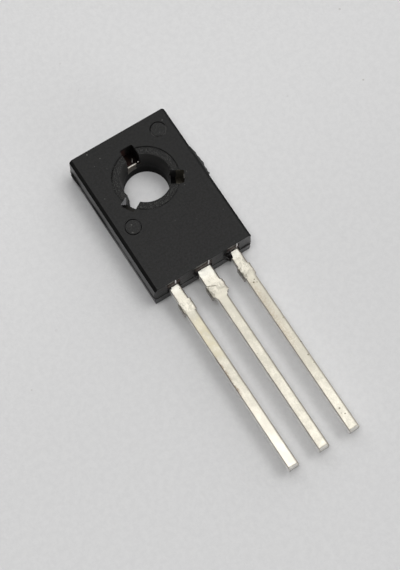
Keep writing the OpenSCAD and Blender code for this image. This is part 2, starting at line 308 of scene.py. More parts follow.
class Graph:
    """Adds and links nodes in one node tree."""

    def __init__(self, tree: Tree) -> None:
        """Keeps the tree, which is a material's, the world's or a node group's."""
        self.tree = tree

    def add(self, kind: str, inputs: dict[Any, Value] | None = None, **settings: Any) -> bpy.types.Node:
        """Adds a node.

        Args:
            kind: the node's type name.
            inputs: values or sockets, by the name or number of the input they go to.
            settings: the node's own settings.

        Returns:
            The node.
        """
        node = self.tree.nodes.new(kind)
        for name, setting in settings.items():
            setattr(node, name, setting)
        for name, value in (inputs or {}).items():
            self.feed(node.inputs[name], value)
        return node

    def feed(self, target: Socket, value: Value) -> None:
        """Links a socket to an input, or writes a plain value on it.

        Args:
            target: the input.
            value: a socket or a plain value.
        """
        if isinstance(value, Socket):
            self.tree.links.new(value, target)
        else:
            target.default_value = value

    def math(self, operation: str, *values: Value) -> Socket:
        """Adds a Math node and returns its result."""
        return self.add("ShaderNodeMath", dict(enumerate(values)), operation=operation).outputs[0]

    def times(self, first: Value, second: Value, *others: Value) -> Socket:
        """Multiplies numbers from left to right.

        Args:
            first: the first number.
            second: the second number.
            others: more numbers.

        Returns:
            The product.
        """
        product = self.math("MULTIPLY", first, second)
        for factor in others:
            product = self.math("MULTIPLY", product, factor)
        return product

    def plus(self, first: Value, second: Value) -> Socket:
        """Adds two numbers."""
        return self.math("ADD", first, second)

    def minus(self, first: Value, second: Value) -> Socket:
        """Takes the second number from the first."""
        return self.math("SUBTRACT", first, second)

    def over(self, first: Value, second: Value) -> Socket:
        """Divides the first number by the second."""
        return self.math("DIVIDE", first, second)

    def most(self, first: Value, second: Value) -> Socket:
        """Returns the larger of two numbers."""
        return self.math("MAXIMUM", first, second)

    def absolute(self, value: Value) -> Socket:
        """Returns a number without its sign."""
        return self.math("ABSOLUTE", value)

    def below(self, value: Value, limit: Value) -> Socket:
        """Returns 1 where the value is below the limit, otherwise 0."""
        return self.math("LESS_THAN", value, limit)

    def above(self, value: Value, limit: Value) -> Socket:
        """Returns 1 where the value is above the limit, otherwise 0."""
        return self.math("GREATER_THAN", value, limit)

    def length(self, x: Value, y: Value) -> Socket:
        """Returns the length of the flat vector x, y."""
        return self.math("SQRT", self.plus(self.times(x, x), self.times(y, y)))

    def stretch(self, point: Value, x: float, y: float, z: float) -> Socket:
        """Multiplies a point's three numbers by three factors."""
        return self.add("ShaderNodeVectorMath", {0: point, 1: (x, y, z)}, operation="MULTIPLY").outputs[0]

    def split(self, vector: Value) -> list[Socket]:
        """Returns the three numbers of a vector."""
        return list(self.add("ShaderNodeSeparateXYZ", {0: vector}).outputs)

    def facing(self, kind: str = "Normal") -> list[Socket]:
        """Returns the three numbers of the surface's normal, smoothed or true."""
        return self.split(self.add("ShaderNodeNewGeometry").outputs[kind])

    def spread(self, value: Value, start: float, end: float, low: float = 0.0, high: float = 1.0) -> Socket:
        """Maps start..end to low..high, smoothly as 3t^2 - 2t^3 of the fraction t; start may be above end."""
        ranges = {"Value": value, "From Min": start, "From Max": end, "To Min": low, "To Max": high}
        return self.add("ShaderNodeMapRange", ranges, interpolation_type="SMOOTHSTEP").outputs["Result"]

    def blend(self, factor: Value, first: Value, second: Value) -> Socket:
        """Blends two numbers by a factor."""
        return self.add("ShaderNodeMix", {0: factor, 2: first, 3: second}, data_type="FLOAT").outputs[0]

    def tint(self, factor: Value, first: Value, second: Value, way: str = "MIX") -> Socket:
        """Blends two colours by a factor."""
        node = self.add("ShaderNodeMix", {0: factor, 6: first, 7: second}, data_type="RGBA", blend_type=way)
        return node.outputs[2]

    def noise(self, point: Value, scale: Value, detail: float = 2.0, roughness: float = 0.5) -> Socket:
        """Adds a Noise Texture and returns its value, about 0.5 on average."""
        inputs = {"Vector": point, "Scale": scale, "Detail": detail, "Roughness": roughness}
        return self.add("ShaderNodeTexNoise", inputs, noise_dimensions="3D").outputs["Fac"]

    def place(self) -> Socket:
        """Returns the point's place on the part in millimetres."""
        return self.stretch(self.add("ShaderNodeTexCoord").outputs["Object"], 1 / MM, 1 / MM, 1 / MM)

    def bump(self, height: Value, distance: float, normal: Value | None = None) -> Socket:
        """Adds a Bump node.

        Args:
            height: the height that shades the surface.
            distance: millimetres for a height of 1.
            normal: the normal to start from, if it isn't the surface's own.

        Returns:
            The normal.
        """
        node = self.add("ShaderNodeBump", {"Height": height, "Distance": distance * MM})
        if normal is not None:
            self.feed(node.inputs["Normal"], normal)
        return node.outputs["Normal"]

    def use(self, group: Tree, **inputs: Value) -> dict[str, Socket]:
        """Places a node group, feeds its inputs by name and returns its outputs by name."""
        node = self.add("ShaderNodeGroup", inputs, node_tree=group)
        return {socket.name: socket for socket in node.outputs}


class SharedEffects:
    """Node groups that more than one finish uses, each made once."""

    def __init__(self) -> None:
        """Makes all groups."""
        self.grain = self._grain()
        self.dust = self._dust()
        self.strokes = self._strokes()
        self.soft_edge = self._soft_edge()

    @staticmethod
    def _group(name: str, inputs: dict[str, float], *outputs: str,
               vector_output: str = "") -> tuple[Tree, Graph, dict[str, Socket]]:
        """Makes an empty group with its sockets.

        Args:
            name: the group's name.
            inputs: default value of each number that goes in, by name; Point is a vector.
            outputs: names of the numbers that come out.
            vector_output: name of the vector that comes out, if there is one.

        Returns:
            The group, a graph on it and its inner input sockets by name.
        """
        tree = bpy.data.node_groups.new(name, "ShaderNodeTree")
        for title, default in inputs.items():
            kind = "NodeSocketVector" if title == "Point" else "NodeSocketFloat"
            socket = tree.interface.new_socket(name=title, in_out="INPUT", socket_type=kind)
            if kind == "NodeSocketFloat":
                socket.default_value = default
        if vector_output:
            tree.interface.new_socket(name=vector_output, in_out="OUTPUT", socket_type="NodeSocketVector")
        for title in outputs:
            tree.interface.new_socket(name=title, in_out="OUTPUT", socket_type="NodeSocketFloat")
        graph = Graph(tree)
        entry = graph.add("NodeGroupInput")
        return tree, graph, {title: entry.outputs[title] for title in inputs}

    @classmethod
    def _grain(cls) -> Tree:
        """Makes the fine matt grain of a spark-eroded mould.

        Returns:
            The group, which puts out a height and the pale grains.
        """
        tree, graph, given = cls._group("fine grain", {"Point": 0.0, "Size": 0.05, "Start": 0.62},
                                        "Height", "Grains")
        scale = graph.over(1.0, given["Size"])
        coarse = graph.noise(given["Point"], scale, 3.0, 0.6)
        cells = graph.add("ShaderNodeTexVoronoi", {"Vector": given["Point"], "Scale": scale},
                          feature="SMOOTH_F1")
        height = graph.plus(coarse, graph.times(cells.outputs["Distance"], 0.35))
        grains = graph.spread(coarse, given["Start"], graph.plus(given["Start"], 0.12))
        graph.add("NodeGroupOutput", {"Height": height, "Grains": grains})
        return tree

    @classmethod
    def _dust(cls) -> Tree:
        """Makes stray specks: round spots in some cells of a pattern that is sheared to fit every face.

        Returns:
            The group, which puts out a mask of the specks and a shade for each.
        """
        tree, graph, given = cls._group(
            "stray specks", {"Point": 0.0, "Spacing": 1.0, "Share": 0.2, "Radius": 0.05}, "Mask", "Shade")
        scale = graph.over(1.0, given["Spacing"])
        height = graph.split(given["Point"])[2]
        shift = graph.add("ShaderNodeCombineXYZ", {0: graph.times(height, 0.71),
                                                   1: graph.times(height, 0.53)}).outputs[0]
        flat = graph.add("ShaderNodeVectorMath", {0: given["Point"], 1: shift}, operation="ADD").outputs[0]
        cells = graph.add("ShaderNodeTexVoronoi", {"Vector": flat, "Scale": scale}, feature="F1",
                          voronoi_dimensions="2D")
        colour = graph.add("ShaderNodeSeparateColor", {0: cells.outputs["Color"]})
        chosen = graph.below(colour.outputs[0], given["Share"])
        away = graph.times(cells.outputs["Distance"], given["Spacing"])
        reach = graph.times(given["Radius"], graph.plus(colour.outputs[1], 0.35))
        inside = graph.minus(1.0, graph.over(away, reach))
        mask = graph.times(chosen, graph.spread(inside, 0.0, 0.5))
        graph.add("NodeGroupOutput", {"Mask": mask, "Shade": colour.outputs[2]})
        return tree

    @classmethod
    def _strokes(cls) -> Tree:
        """Makes drawn or sheared strokes: noise that the caller stretches along one way.

        Returns:
            The group, which puts out a height.
        """
        tree, graph, given = cls._group("drawn strokes", {"Point": 0.0, "Width": 0.05}, "Height")
        lines = graph.noise(given["Point"], graph.over(1.0, given["Width"]), 2.0, 0.65)
        graph.add("NodeGroupOutput", {"Height": lines})
        return tree

    @classmethod
    def _soft_edge(cls) -> Tree:
        """Makes the rounded look of a sharp edge.

        Returns:
            The group, which puts out the rounded normal and a mask of where the edge runs.
        """
        tree, graph, given = cls._group("soft edge", {"Radius": 0.00004}, "Edge", vector_output="Normal")
        rounded = graph.add("ShaderNodeBevel", {"Radius": given["Radius"]}, samples=6).outputs["Normal"]
        plain = graph.add("ShaderNodeNewGeometry").outputs["Normal"]
        match = graph.add("ShaderNodeVectorMath", {0: rounded, 1: plain}, operation="DOT_PRODUCT")
        edge = graph.spread(match.outputs["Value"], 1.0, 0.9)
        graph.add("NodeGroupOutput", {"Normal": rounded, "Edge": edge})
        return tree


@dataclass(frozen=True)
class Finish:
    """A kind of material: its fields are the colours and sizes, and make() builds its nodes."""

    name: str

    def start(self) -> tuple[Material, Graph, bpy.types.Node]:
        """Makes the material with one Principled shader.

        Returns:
            The material, a graph on its tree and the shader.
        """
        material = bpy.data.materials.new(self.name)
        material.use_nodes = True
        material.node_tree.nodes.clear()
        graph = Graph(material.node_tree)
        shader = graph.add("ShaderNodeBsdfPrincipled")
        graph.add("ShaderNodeOutputMaterial", {"Surface": shader.outputs[0]})
        return material, graph, shader


@dataclass(frozen=True)
class MouldingZones:
    """Places and masks on the moulding that its colour, roughness, relief and gloss share."""

    graph: Graph
    point: Socket
    x: Socket
    y: Socket
    z: Socket
    facing: list[Socket]
    cloud: Socket
    ring: Socket
    bore: Socket
    bore_painted_shade: Socket
    in_pin: Socket
    pin_groove_painted_light: Socket
    groove_painted_shade: Socket
    stain_and_painted_reflection: Socket
    void: Socket
    side: Socket
    end: Socket
    chamfer: Socket


@dataclass(frozen=True)
class MouldingFinish(Finish):
    """Black moulding compound: speckled on the ring, glossier on the walls, with painted light and shade in the
    hole, in the grooves, in the right notch and on the right chamfer, and a faint painted highlight on the edges.
    """

    name: str = "black moulding compound"
    colour: tuple = (0.0062, 0.0061, 0.0060, 1.0)
    cloudy: tuple = (0.0088, 0.0087, 0.0084, 1.0)
    grain_colour: tuple = (0.075, 0.075, 0.070, 1.0)
    dust_colour: tuple = (0.10, 0.10, 0.095, 1.0)
    painted_shade_colour: tuple = (0.002, 0.002, 0.002, 1.0)
    plate_reflection_colour: tuple = (0.135, 0.126, 0.098, 1.0)
    notch_shade_wall_colour: tuple = (0.045, 0.0440, 0.043, 1.0)
    bore_painted_light: tuple = (0.034, 0.033, 0.032, 1.0)
    brown_colour: tuple = (0.050, 0.023, 0.019, 1.0)
    groove_light_colour: tuple = (0.048, 0.047, 0.045, 1.0)
    plain_gloss: float = 0.21
    ring_gloss: float = 0.18
    bore_gloss: float = 0.05
    wall_gloss: float = 0.30
    dull_gloss: float = 0.02
    roughness: tuple = (0.44, 0.50)
    bore_roughness: float = 0.52
    wall_roughness: float = 0.30
    relief: float = 0.012
    edge_radius: float = 0.012
    ring_inner: float = 1.735
    ring_groove: float = 2.205
    ring_outer: float = 2.285
    pin_offset: float = 2.53
    pin_radius: float = 0.57
    groove: float = 0.07
    notch_angle: float = -30.0
    notch_half: float = 0.5
    notch_start: float = 1.62
    reflection_start: float = 1.97
    reflection_end: float = 2.54
    top_notch: tuple = (2.40, 2.50, 2.57)
    chamfer_start: float = 3.42
    walls_from: float = 3.2
    left_wall: tuple = (-3.40, -3.50)
    dull_from: tuple = (-2.40, -1.70)
    dull_to: tuple = (2.85, 2.35)
    top: float = 2.6
    parting: float = 1.2

    def make(self, effects: SharedEffects) -> Material:
        """Builds the material.

        Args:
            effects: the shared node groups.

        Returns:
            The material.
        """
        material, graph, shader = self.start()
        zones = self._zones(graph)
        fine = graph.use(effects.grain, Point=zones.point, Size=0.06)
        coarse = graph.use(effects.grain, Point=zones.point, Size=0.075, Start=0.50)
        edge = graph.use(effects.soft_edge, Radius=self.edge_radius * MM)
        drag = graph.use(effects.strokes, Point=graph.stretch(zones.point, 1.0, 1.0, 0.12), Width=0.08)
        rough_place = graph.most(zones.ring, graph.times(zones.in_pin, 0.45))

        grains = graph.blend(rough_place, graph.times(fine["Grains"], 0.07), graph.times(coarse["Grains"], 0.45))
        # Painted highlight: the edges get a faint share of the pale grain colour.
        grains = graph.plus(grains, graph.times(edge["Edge"], 0.05))
        height = graph.blend(rough_place, graph.times(fine["Height"], 0.7), graph.times(coarse["Height"], 1.1))
        height = graph.blend(zones.bore, height, graph.times(drag["Height"], 0.35))
        rough = graph.blend(graph.spread(zones.cloud, 0.3, 0.7), *self.roughness)
        rough = graph.blend(zones.bore, rough, self.bore_roughness)
        rough = graph.blend(graph.most(zones.side, zones.end), rough, self.wall_roughness)

        graph.feed(shader.inputs["Base Color"], self._colour(effects, zones, grains))
        graph.feed(shader.inputs["Roughness"], rough)
        graph.feed(shader.inputs["Normal"], graph.bump(height, self.relief, edge["Normal"]))
        shader.inputs["Specular IOR Level"].default_value = self.plain_gloss
        graph.feed(shader.inputs["Specular IOR Level"], self._gloss(zones))
        return material

    def _zones(self, graph: Graph) -> MouldingZones:
        """Masks the places that look different.

        Args:
            graph: the material's graph.

        Returns:
            The places and masks.
        """
        point = graph.place()
        x, y, z = graph.split(point)
        facing = graph.facing("True Normal")
        around = graph.length(x, y)
        on_top = graph.spread(z, self.top - 0.12, self.top - 0.07)
        ring = graph.times(on_top, graph.times(graph.below(around, self.ring_outer),
                                               graph.above(around, self.ring_inner)))
        bore = graph.times(graph.below(around, self.ring_inner),
                           graph.spread(z, self.top - 0.03, self.top - 0.10))
        # Painted shade: the hole's wall is painted darker below the parting line, darkest at the bottom.
        bore_painted_shade = graph.times(bore, graph.spread(z, self.parting + 0.10, 0.55, 0.0, 0.75))
        in_pin, pin_groove_shade, pin_groove_painted_light = self._pin_marks(graph, point, x, y, on_top)
        uneven = graph.spread(graph.noise(point, 1.1, 3.0, 0.6), 0.38, 0.62, 0.15, 0.6)
        # Painted shade: a dark line is painted in the ring's outer groove, broken by noise.
        ring_groove_shade = graph.times(ring, graph.above(around, self.ring_groove))
        stain_and_painted_reflection, void = self._right_notch(graph, x, y, z)
        outside = graph.above(around, self.walls_from)
        lean = graph.absolute(facing[0])
        chamfer = graph.times(graph.above(graph.absolute(x), self.chamfer_start),
                              graph.times(graph.spread(lean, 0.45, 0.6), graph.spread(lean, 0.95, 0.9)))
        return MouldingZones(
            graph=graph, point=point, x=x, y=y, z=z, facing=facing, cloud=graph.noise(point, 0.45, 3.0, 0.55),
            ring=ring, bore=bore, bore_painted_shade=bore_painted_shade, in_pin=in_pin, pin_groove_painted_light=pin_groove_painted_light, stain_and_painted_reflection=stain_and_painted_reflection, void=void,
            groove_painted_shade=graph.most(graph.times(ring_groove_shade, uneven), pin_groove_shade),
            side=graph.times(graph.spread(lean, 0.85, 0.95), outside),
            end=graph.times(graph.spread(graph.absolute(facing[1]), 0.85, 0.95), outside),
            chamfer=graph.times(chamfer, graph.spread(facing[2], 0.2, 0.4)))

    def _colour(self, effects: SharedEffects, zones: MouldingZones, grains: Socket) -> Socket:
        """Lays the colours over each other.

        Args:
            effects: the shared node groups.
            zones: the places and masks.
            grains: mask of the pale grains, with a faint painted highlight along the edges.

        Returns:
            The colour.
        """
        graph = zones.graph
        dust = graph.use(effects.dust, Point=zones.point, Spacing=0.62, Share=0.06, Radius=0.05)
        pin_dust = graph.use(effects.dust, Point=zones.point, Spacing=0.24, Share=0.22, Radius=0.055)
        speck = graph.times(dust["Mask"], graph.spread(dust["Shade"], 0.0, 1.0, 0.15, 1.0))
        on_pin = graph.times(pin_dust["Mask"], 0.6, zones.in_pin)
        # Painted light: the hole's wall is painted a lighter grey towards its mouth, fading downwards.
        upper = graph.times(zones.bore, graph.spread(zones.z, 0.7, 2.3))
        # Painted shade: in the right notch before the plate's hole the floor is painted black and the walls a flat
        # grey, and the gloss there is taken away.
        notch_shade_colour = graph.tint(graph.spread(zones.facing[2], 0.4, 0.7), self.notch_shade_wall_colour, self.painted_shade_colour)
        # Painted reflection: the right notch's walls beyond the plate's hole are painted olive, the plate mirrored
        # in them, more strongly towards the top.
        stain_and_painted_reflection = graph.times(zones.stain_and_painted_reflection, graph.spread(zones.z, self.parting, self.top, 0.45, 1.0))
        # Painted shade: the right chamfer is painted black.
        chamfer_painted_shade = graph.times(zones.chamfer, graph.spread(zones.x, 0.0, 1.0))

        colour = graph.tint(graph.spread(zones.cloud, 0.35, 0.75), self.colour, self.cloudy)
        for mask, over in ((grains, self.grain_colour), (graph.most(speck, on_pin), self.dust_colour),
                           (upper, self.bore_painted_light), (zones.pin_groove_painted_light, self.groove_light_colour),
                           (self._brown_wall(zones), self.brown_colour),
                           (graph.most(zones.bore_painted_shade, zones.groove_painted_shade), self.painted_shade_colour),
                           (zones.void, notch_shade_colour), (stain_and_painted_reflection, self.plate_reflection_colour),
                           (chamfer_painted_shade, self.painted_shade_colour)):
            colour = graph.tint(mask, colour, over)
        return colour

    def _gloss(self, zones: MouldingZones) -> Socket:
        """Works out the gloss: less in the hole, more on the walls, almost none in dull places.

        Args:
            zones: the places and masks.

        Returns:
            The specular level.
        """
        graph = zones.graph
        gloss = graph.blend(zones.bore, graph.blend(zones.ring, self.plain_gloss, self.ring_gloss), self.bore_gloss)
        gloss = graph.blend(zones.end, graph.blend(zones.side, gloss, self.wall_gloss),
                            graph.spread(zones.x, -1.0, 3.0, self.plain_gloss, self.wall_gloss))
        dull = graph.most(graph.most(zones.bore_painted_shade, graph.times(zones.chamfer, 0.85)),
                          graph.most(zones.groove_painted_shade, zones.void))
        gloss = graph.blend(graph.most(dull, self._dull_wall(zones)), gloss, self.dull_gloss)
        mottle = graph.noise(zones.point, 6.5, 4.0, 0.7)
        return graph.times(gloss, graph.spread(mottle, 0.3, 0.7, 0.82, 1.18))

    def _pin_marks(self, graph: Graph, point: Value, x: Socket, y: Socket,
                   on_top: Value) -> tuple[Socket, Socket, Socket]:
        """Masks the two round pin marks.

        Args:
            graph: the material's graph.
            point: the place on the part.
            x: its place across the leads.
            y: its place along the leads.
            on_top: mask of the face.

        Returns:
            Masks of their inside, of the broken painted shade in the groove round them and of where that groove is
            painted lighter instead.
        """
        away = graph.length(graph.minus(graph.absolute(x), self.pin_offset),
                            graph.minus(graph.absolute(y), self.pin_offset))
        here = graph.times(on_top, graph.above(graph.times(x, y), 0.0))
        within = graph.times(here, graph.below(away, self.pin_radius))
        # Painted shade: a dark line is painted in the groove round each pin mark.
        line = graph.times(within, graph.above(away, self.pin_radius - self.groove))
        broken = graph.spread(graph.noise(point, 1.6), 0.42, 0.52, 0.15, 0.95)
        # Painted light: on the lower half of the upper right pin mark, the groove's painted shade gives way to a
        # lighter grey.
        groove_lightened = graph.times(graph.spread(x, -0.5, 0.5), graph.spread(y, 2.72, 2.45),
                             graph.spread(graph.noise(point, 3.1), 0.35, 0.55, 0.5, 1.0))
        open_groove_shade = graph.times(line, graph.minus(1.0, groove_lightened), broken)
        return graph.minus(within, line), open_groove_shade, graph.times(line, groove_lightened)

    def _dull_wall(self, zones: MouldingZones) -> Socket:
        """Masks the dull patches under the parting line on the left wall.

        Args:
            zones: the places.

        Returns:
            The mask.
        """
        graph = zones.graph
        return graph.times(graph.spread(zones.x, *self.left_wall),
                           graph.spread(zones.z, self.parting - 0.02, self.parting - 0.15),
                           graph.spread(zones.y, *self.dull_to), graph.spread(zones.y, *self.dull_from),
                           graph.spread(graph.noise(zones.point, 1.7, 3.0, 0.6), 0.36, 0.50, 0.35, 1.0))

    def _brown_wall(self, zones: MouldingZones) -> Socket:
        """Masks the left part of the top notch's end wall, which is tinted brown.

        Args:
            zones: the places.

        Returns:
            The mask.
        """
        graph = zones.graph
        start, full, end = self.top_notch
        ragged = graph.plus(zones.x, graph.times(zones.cloud, 0.3))
        return graph.times(graph.spread(zones.y, start, full), graph.below(zones.y, end),
                           graph.spread(graph.absolute(zones.x), 0.50, 0.46),
                           graph.spread(zones.z, self.top - 0.15, self.top - 0.40),
                           graph.spread(ragged, 0.22, -0.06))

    def _right_notch(self, graph: Graph, x: Socket, y: Socket, z: Socket) -> tuple[Socket, Socket]:
        """Masks the right notch.

        Args:
            graph: the material's graph.
            x: place across the leads.
            y: place along the leads.
            z: height.

        Returns:
            Masks of its walls beyond the plate's hole, where the plate's reflection is painted, and of the painted
            shade in the notch before them.
        """
        turn = math.radians(self.notch_angle)
        away = graph.plus(graph.times(x, math.cos(turn)), graph.times(y, math.sin(turn)))
        across = graph.minus(graph.times(y, math.cos(turn)), graph.times(x, math.sin(turn)))
        inside = graph.times(graph.below(away, self.reflection_end),
                             graph.below(graph.absolute(across), self.notch_half))
        inside = graph.times(inside, graph.spread(z, self.top - 0.02, self.top - 0.08))
        beyond = graph.spread(away, self.reflection_start, self.reflection_start + 0.05)
        void = graph.times(inside, graph.spread(away, self.notch_start, self.notch_start + 0.04))
        return graph.times(inside, beyond), graph.minus(void, graph.times(void, beyond))


class BreakKind(Enum):
    """How a scrap of moulding compound broke."""

    GRANULAR = "granular"
    GLASSY = "glassy"


@dataclass(frozen=True)
class BreakLook:
    """Colours, roughness, gloss and relief of one kind of break."""

    dark: tuple
    pale: tuple
    roughness: tuple
    gloss: float
    relief: float


BREAK_LOOKS = {
    BreakKind.GRANULAR: BreakLook((0.030, 0.030, 0.029, 1.0), (0.13, 0.13, 0.125, 1.0), (0.5, 0.7), 0.5, 0.02),
    BreakKind.GLASSY: BreakLook((0.0025, 0.002, 0.002, 1.0), (0.010, 0.007, 0.006, 1.0), (0.16, 0.34), 0.22, 0.006),
}


@dataclass(frozen=True)
class BrokenResinFinish(Finish):
    """Broken moulding compound: paler and rough with filler grains, or black and glassy."""

    name: str = "broken moulding compound"
    kind: BreakKind = BreakKind.GRANULAR

    def make(self, effects: SharedEffects) -> Material:
        """Builds the material.

        Args:
            effects: the shared node groups.

        Returns:
            The material.
        """
        material, graph, shader = self.start()
        look = BREAK_LOOKS[self.kind]
        point = graph.place()
        grain = graph.use(effects.grain, Point=point, Size=0.05)
        specks = graph.use(effects.dust, Point=point, Spacing=0.13, Share=0.3, Radius=0.03)
        share = graph.most(graph.times(grain["Grains"], 0.5), graph.times(specks["Mask"], 0.6))
        graph.feed(shader.inputs["Base Color"], graph.tint(share, look.dark, look.pale))
        graph.feed(shader.inputs["Roughness"], graph.spread(grain["Height"], 0.3, 0.9, *look.roughness))
        graph.feed(shader.inputs["Normal"], graph.bump(grain["Height"], look.relief))
        shader.inputs["Specular IOR Level"].default_value = look.gloss
        return material


@dataclass(frozen=True)
class FilmFinish(Finish):
    """Thin film of resin round a lead's root: brown, and painted black along the joint as the shade in the crevice
    between lead and wall.
    """

    name: str = "resin film"
    brown: tuple = (0.036, 0.021, 0.018, 1.0)
    black: tuple = (0.004, 0.0035, 0.003, 1.0)
    plain_gloss: float = 0.18
    joint_gloss: float = 0.05
    joint: float = 1.75

    def make(self, effects: SharedEffects) -> Material:
        """Builds the material.

        Args:
            effects: the shared node groups.

        Returns:
            The material.
        """
        material, graph, shader = self.start()
        point = graph.place()
        cloud = graph.noise(point, 5.0, 3.0, 0.6)
        grain = graph.use(effects.grain, Point=point, Size=0.05)
        ragged = graph.plus(graph.split(point)[2], graph.times(graph.minus(cloud, 0.5), 0.16))
        # Painted shade: the band along the joint is painted black; thin marks the brown rest of the film.
        thin = graph.times(graph.spread(ragged, self.joint + 0.10, self.joint + 0.24),
                           graph.spread(cloud, 0.30, 0.60, 0.45, 1.0))
        graph.feed(shader.inputs["Base Color"], graph.tint(thin, self.black, self.brown))
        graph.feed(shader.inputs["Roughness"], graph.blend(thin, 0.6, 0.42))
        graph.feed(shader.inputs["Normal"], graph.bump(grain["Height"], 0.008))
        shader.inputs["Specular IOR Level"].default_value = self.plain_gloss
        graph.feed(shader.inputs["Specular IOR Level"], graph.blend(thin, self.joint_gloss, self.plain_gloss))
        return material


@dataclass(frozen=True)
class TinPlace:
    """Places, noises and masks on the leads that the tin's colour and relief share."""

    graph: Graph
    point: Socket
    x: Socket
    y: Socket
    z: Socket
    facing: list[Socket]
    cloud: Socket
    mottle: Socket
    fine: Socket
    facets: Socket
    middle: Socket
    pressed: Socket


@dataclass(frozen=True)
class TinFinish(Finish):
    """Warm matt tin on the leads: painted light at the roots, with stains, specks and sheared stubs."""

    name: str = "matt tin coat"
    colour: tuple = (0.630, 0.600, 0.522, 1.0)
    dull: tuple = (0.455, 0.432, 0.368, 1.0)
    bright: tuple = (0.690, 0.655, 0.585, 1.0)
    flank_reflection: tuple = (0.860, 0.850, 0.830, 1.0)
    edge: tuple = (0.530, 0.480, 0.420, 1.0)
    end: tuple = (0.600, 0.585, 0.555, 1.0)
    stain: tuple = (0.470, 0.425, 0.300, 1.0)
    tarnish: tuple = (0.350, 0.300, 0.235, 1.0)
    root: tuple = (0.850, 0.835, 0.760, 1.0)
    speck: tuple = (0.10, 0.085, 0.06, 1.0)
    shear: tuple = (0.22, 0.205, 0.175, 1.0)
    rust: tuple = (0.19, 0.135, 0.095, 1.0)
    pitch: float = 2.29
    left_lead: tuple = (-1.5, -1.9)
    middle_lead: tuple = (1.2, 0.8)
    right_lead: tuple = (1.2, 2.0)
    spots: tuple = ((2.22, -9.72, 0.06), (2.35, -9.56, 0.035), (2.40, -9.80, 0.03), (2.49, -15.7, 0.05),
                    (2.62, -14.7, 0.05), (2.20, -19.72, 0.06), (2.31, -20.2, 0.05), (2.13, -20.05, 0.03))
    spot_softness: float = 0.015
    line_half: tuple = (0.035, 0.012)
    root_end: float = -8.3
    dull_start: float = -9.6
    tip: float = -21.35
    root_light_span: tuple = (-8.15, -7.75)
    pressed: tuple = (-9.5, -8.9)
    neck: tuple = ((-8.75, -9.15), (-10.6, -9.6))
    stub: tuple = ((-8.34, -8.46), (-9.42, -9.10))
    stain_and_painted_reflection: tuple = ((-9.4, -10.2), (-13.4, -12.2))
    tarnished: tuple = ((-9.2, -9.9), (-15.4, -14.2))
    peppered: tuple = ((-12.5, -12.9), (-16.2, -15.2))
    relief: float = 0.006

    def make(self, effects: SharedEffects) -> Material:
        """Builds the material.

        Args:
            effects: the shared node groups.

        Returns:
            The material.
        """
        material, graph, shader = self.start()
        place = self._place(graph)
        strokes = graph.use(effects.strokes, Point=graph.stretch(place.point, 1.0, 0.12, 1.0), Width=0.06)
        grain = graph.use(effects.grain, Point=place.point, Size=0.07)
        specks = graph.use(effects.dust, Point=place.point, Spacing=0.9, Share=0.22, Radius=0.035)

        colour = graph.tint(self._dulling(place), self.colour, self.dull)
        for mask, over in self._stains(place):
            colour = graph.tint(mask, colour, over)
        # Painted light and shade on the sides and cut ends of the coat.
        flank_reflection = graph.spread(graph.absolute(place.facing[2]), 0.97, 0.75)
        colour = graph.tint(flank_reflection, colour, self._flank_painted_light(place))
        colour = graph.tint(self._sheared(place), colour, self.shear)
        rusty = graph.times(self._rusty(place), graph.spread(place.z, 1.45, 1.66, 0.15, 1.0))
        colour = graph.tint(rusty, colour, self.rust)
        spot = graph.most(graph.times(specks["Mask"], 0.75), self._spots(place))
        colour = graph.tint(graph.most(spot, self._pressed_line(place)), colour, self.speck)

        height = graph.plus(graph.times(strokes["Height"], 0.5), grain["Height"])
        dents = graph.times(place.facets, place.pressed, 7.0)
        graph.feed(shader.inputs["Base Color"], colour)
        graph.feed(shader.inputs["Roughness"], graph.blend(graph.spread(place.cloud, 0.3, 0.7), 0.47, 0.53))
        graph.feed(shader.inputs["Normal"], graph.bump(graph.plus(height, dents), self.relief))
        shader.inputs["Metallic"].default_value = 1.0
        return material

    def _place(self, graph: Graph) -> TinPlace:
        """Adds the noises and the masks of the middle lead and of the pressed roots.

        Args:
            graph: the material's graph.

        Returns:
            The places, noises and masks.
        """
        point = graph.place()
        x, y, z = graph.split(point)
        return TinPlace(
            graph=graph, point=point, x=x, y=y, z=z, facing=graph.facing(),
            cloud=graph.noise(point, 1.3, 3.0, 0.5),
            mottle=graph.noise(graph.stretch(point, 1.0, 0.5, 1.0), 4.5, 3.0, 0.6),
            fine=graph.noise(point, 11.0, 3.0, 0.65),
            facets=graph.noise(graph.stretch(point, 1.0, 0.7, 1.0), 6.0, 3.0, 0.7),
            middle=graph.spread(graph.absolute(x), *self.middle_lead),
            pressed=graph.spread(y, *self.pressed))

    @staticmethod
    def _between(place: TinPlace, ramps: tuple) -> Socket:
        """Masks a stretch along the leads, which fades in and out over two ramps."""
        return place.graph.times(*(place.graph.spread(place.y, *ramp) for ramp in ramps))

    def _dulling(self, place: TinPlace) -> Socket:
        """Works out how dull the tin is: more from the roots on, with clouds and fine mottle over it.

        Args:
            place: the places and noises.

        Returns:
            The share of the dull colour.
        """
        graph = place.graph
        y = place.y
        # The tin is painted duller beyond the root, and less dull again towards the tip.
        dulled = graph.times(graph.spread(y, self.root_end, self.dull_start),
                           graph.spread(y, self.tip, self.dull_start, 0.45, 1.0))
        on_right = graph.spread(place.x, *self.right_lead)
        dulled = graph.plus(dulled, graph.times(on_right, graph.spread(y, -18.0, -16.0), 0.28))
        dulled = graph.minus(dulled, graph.times(on_right, graph.spread(y, -16.5, -18.0), 0.10))
        necked = graph.times(place.middle, self._between(place, self.neck))
        dulled = graph.plus(dulled, graph.times(necked, 0.40))
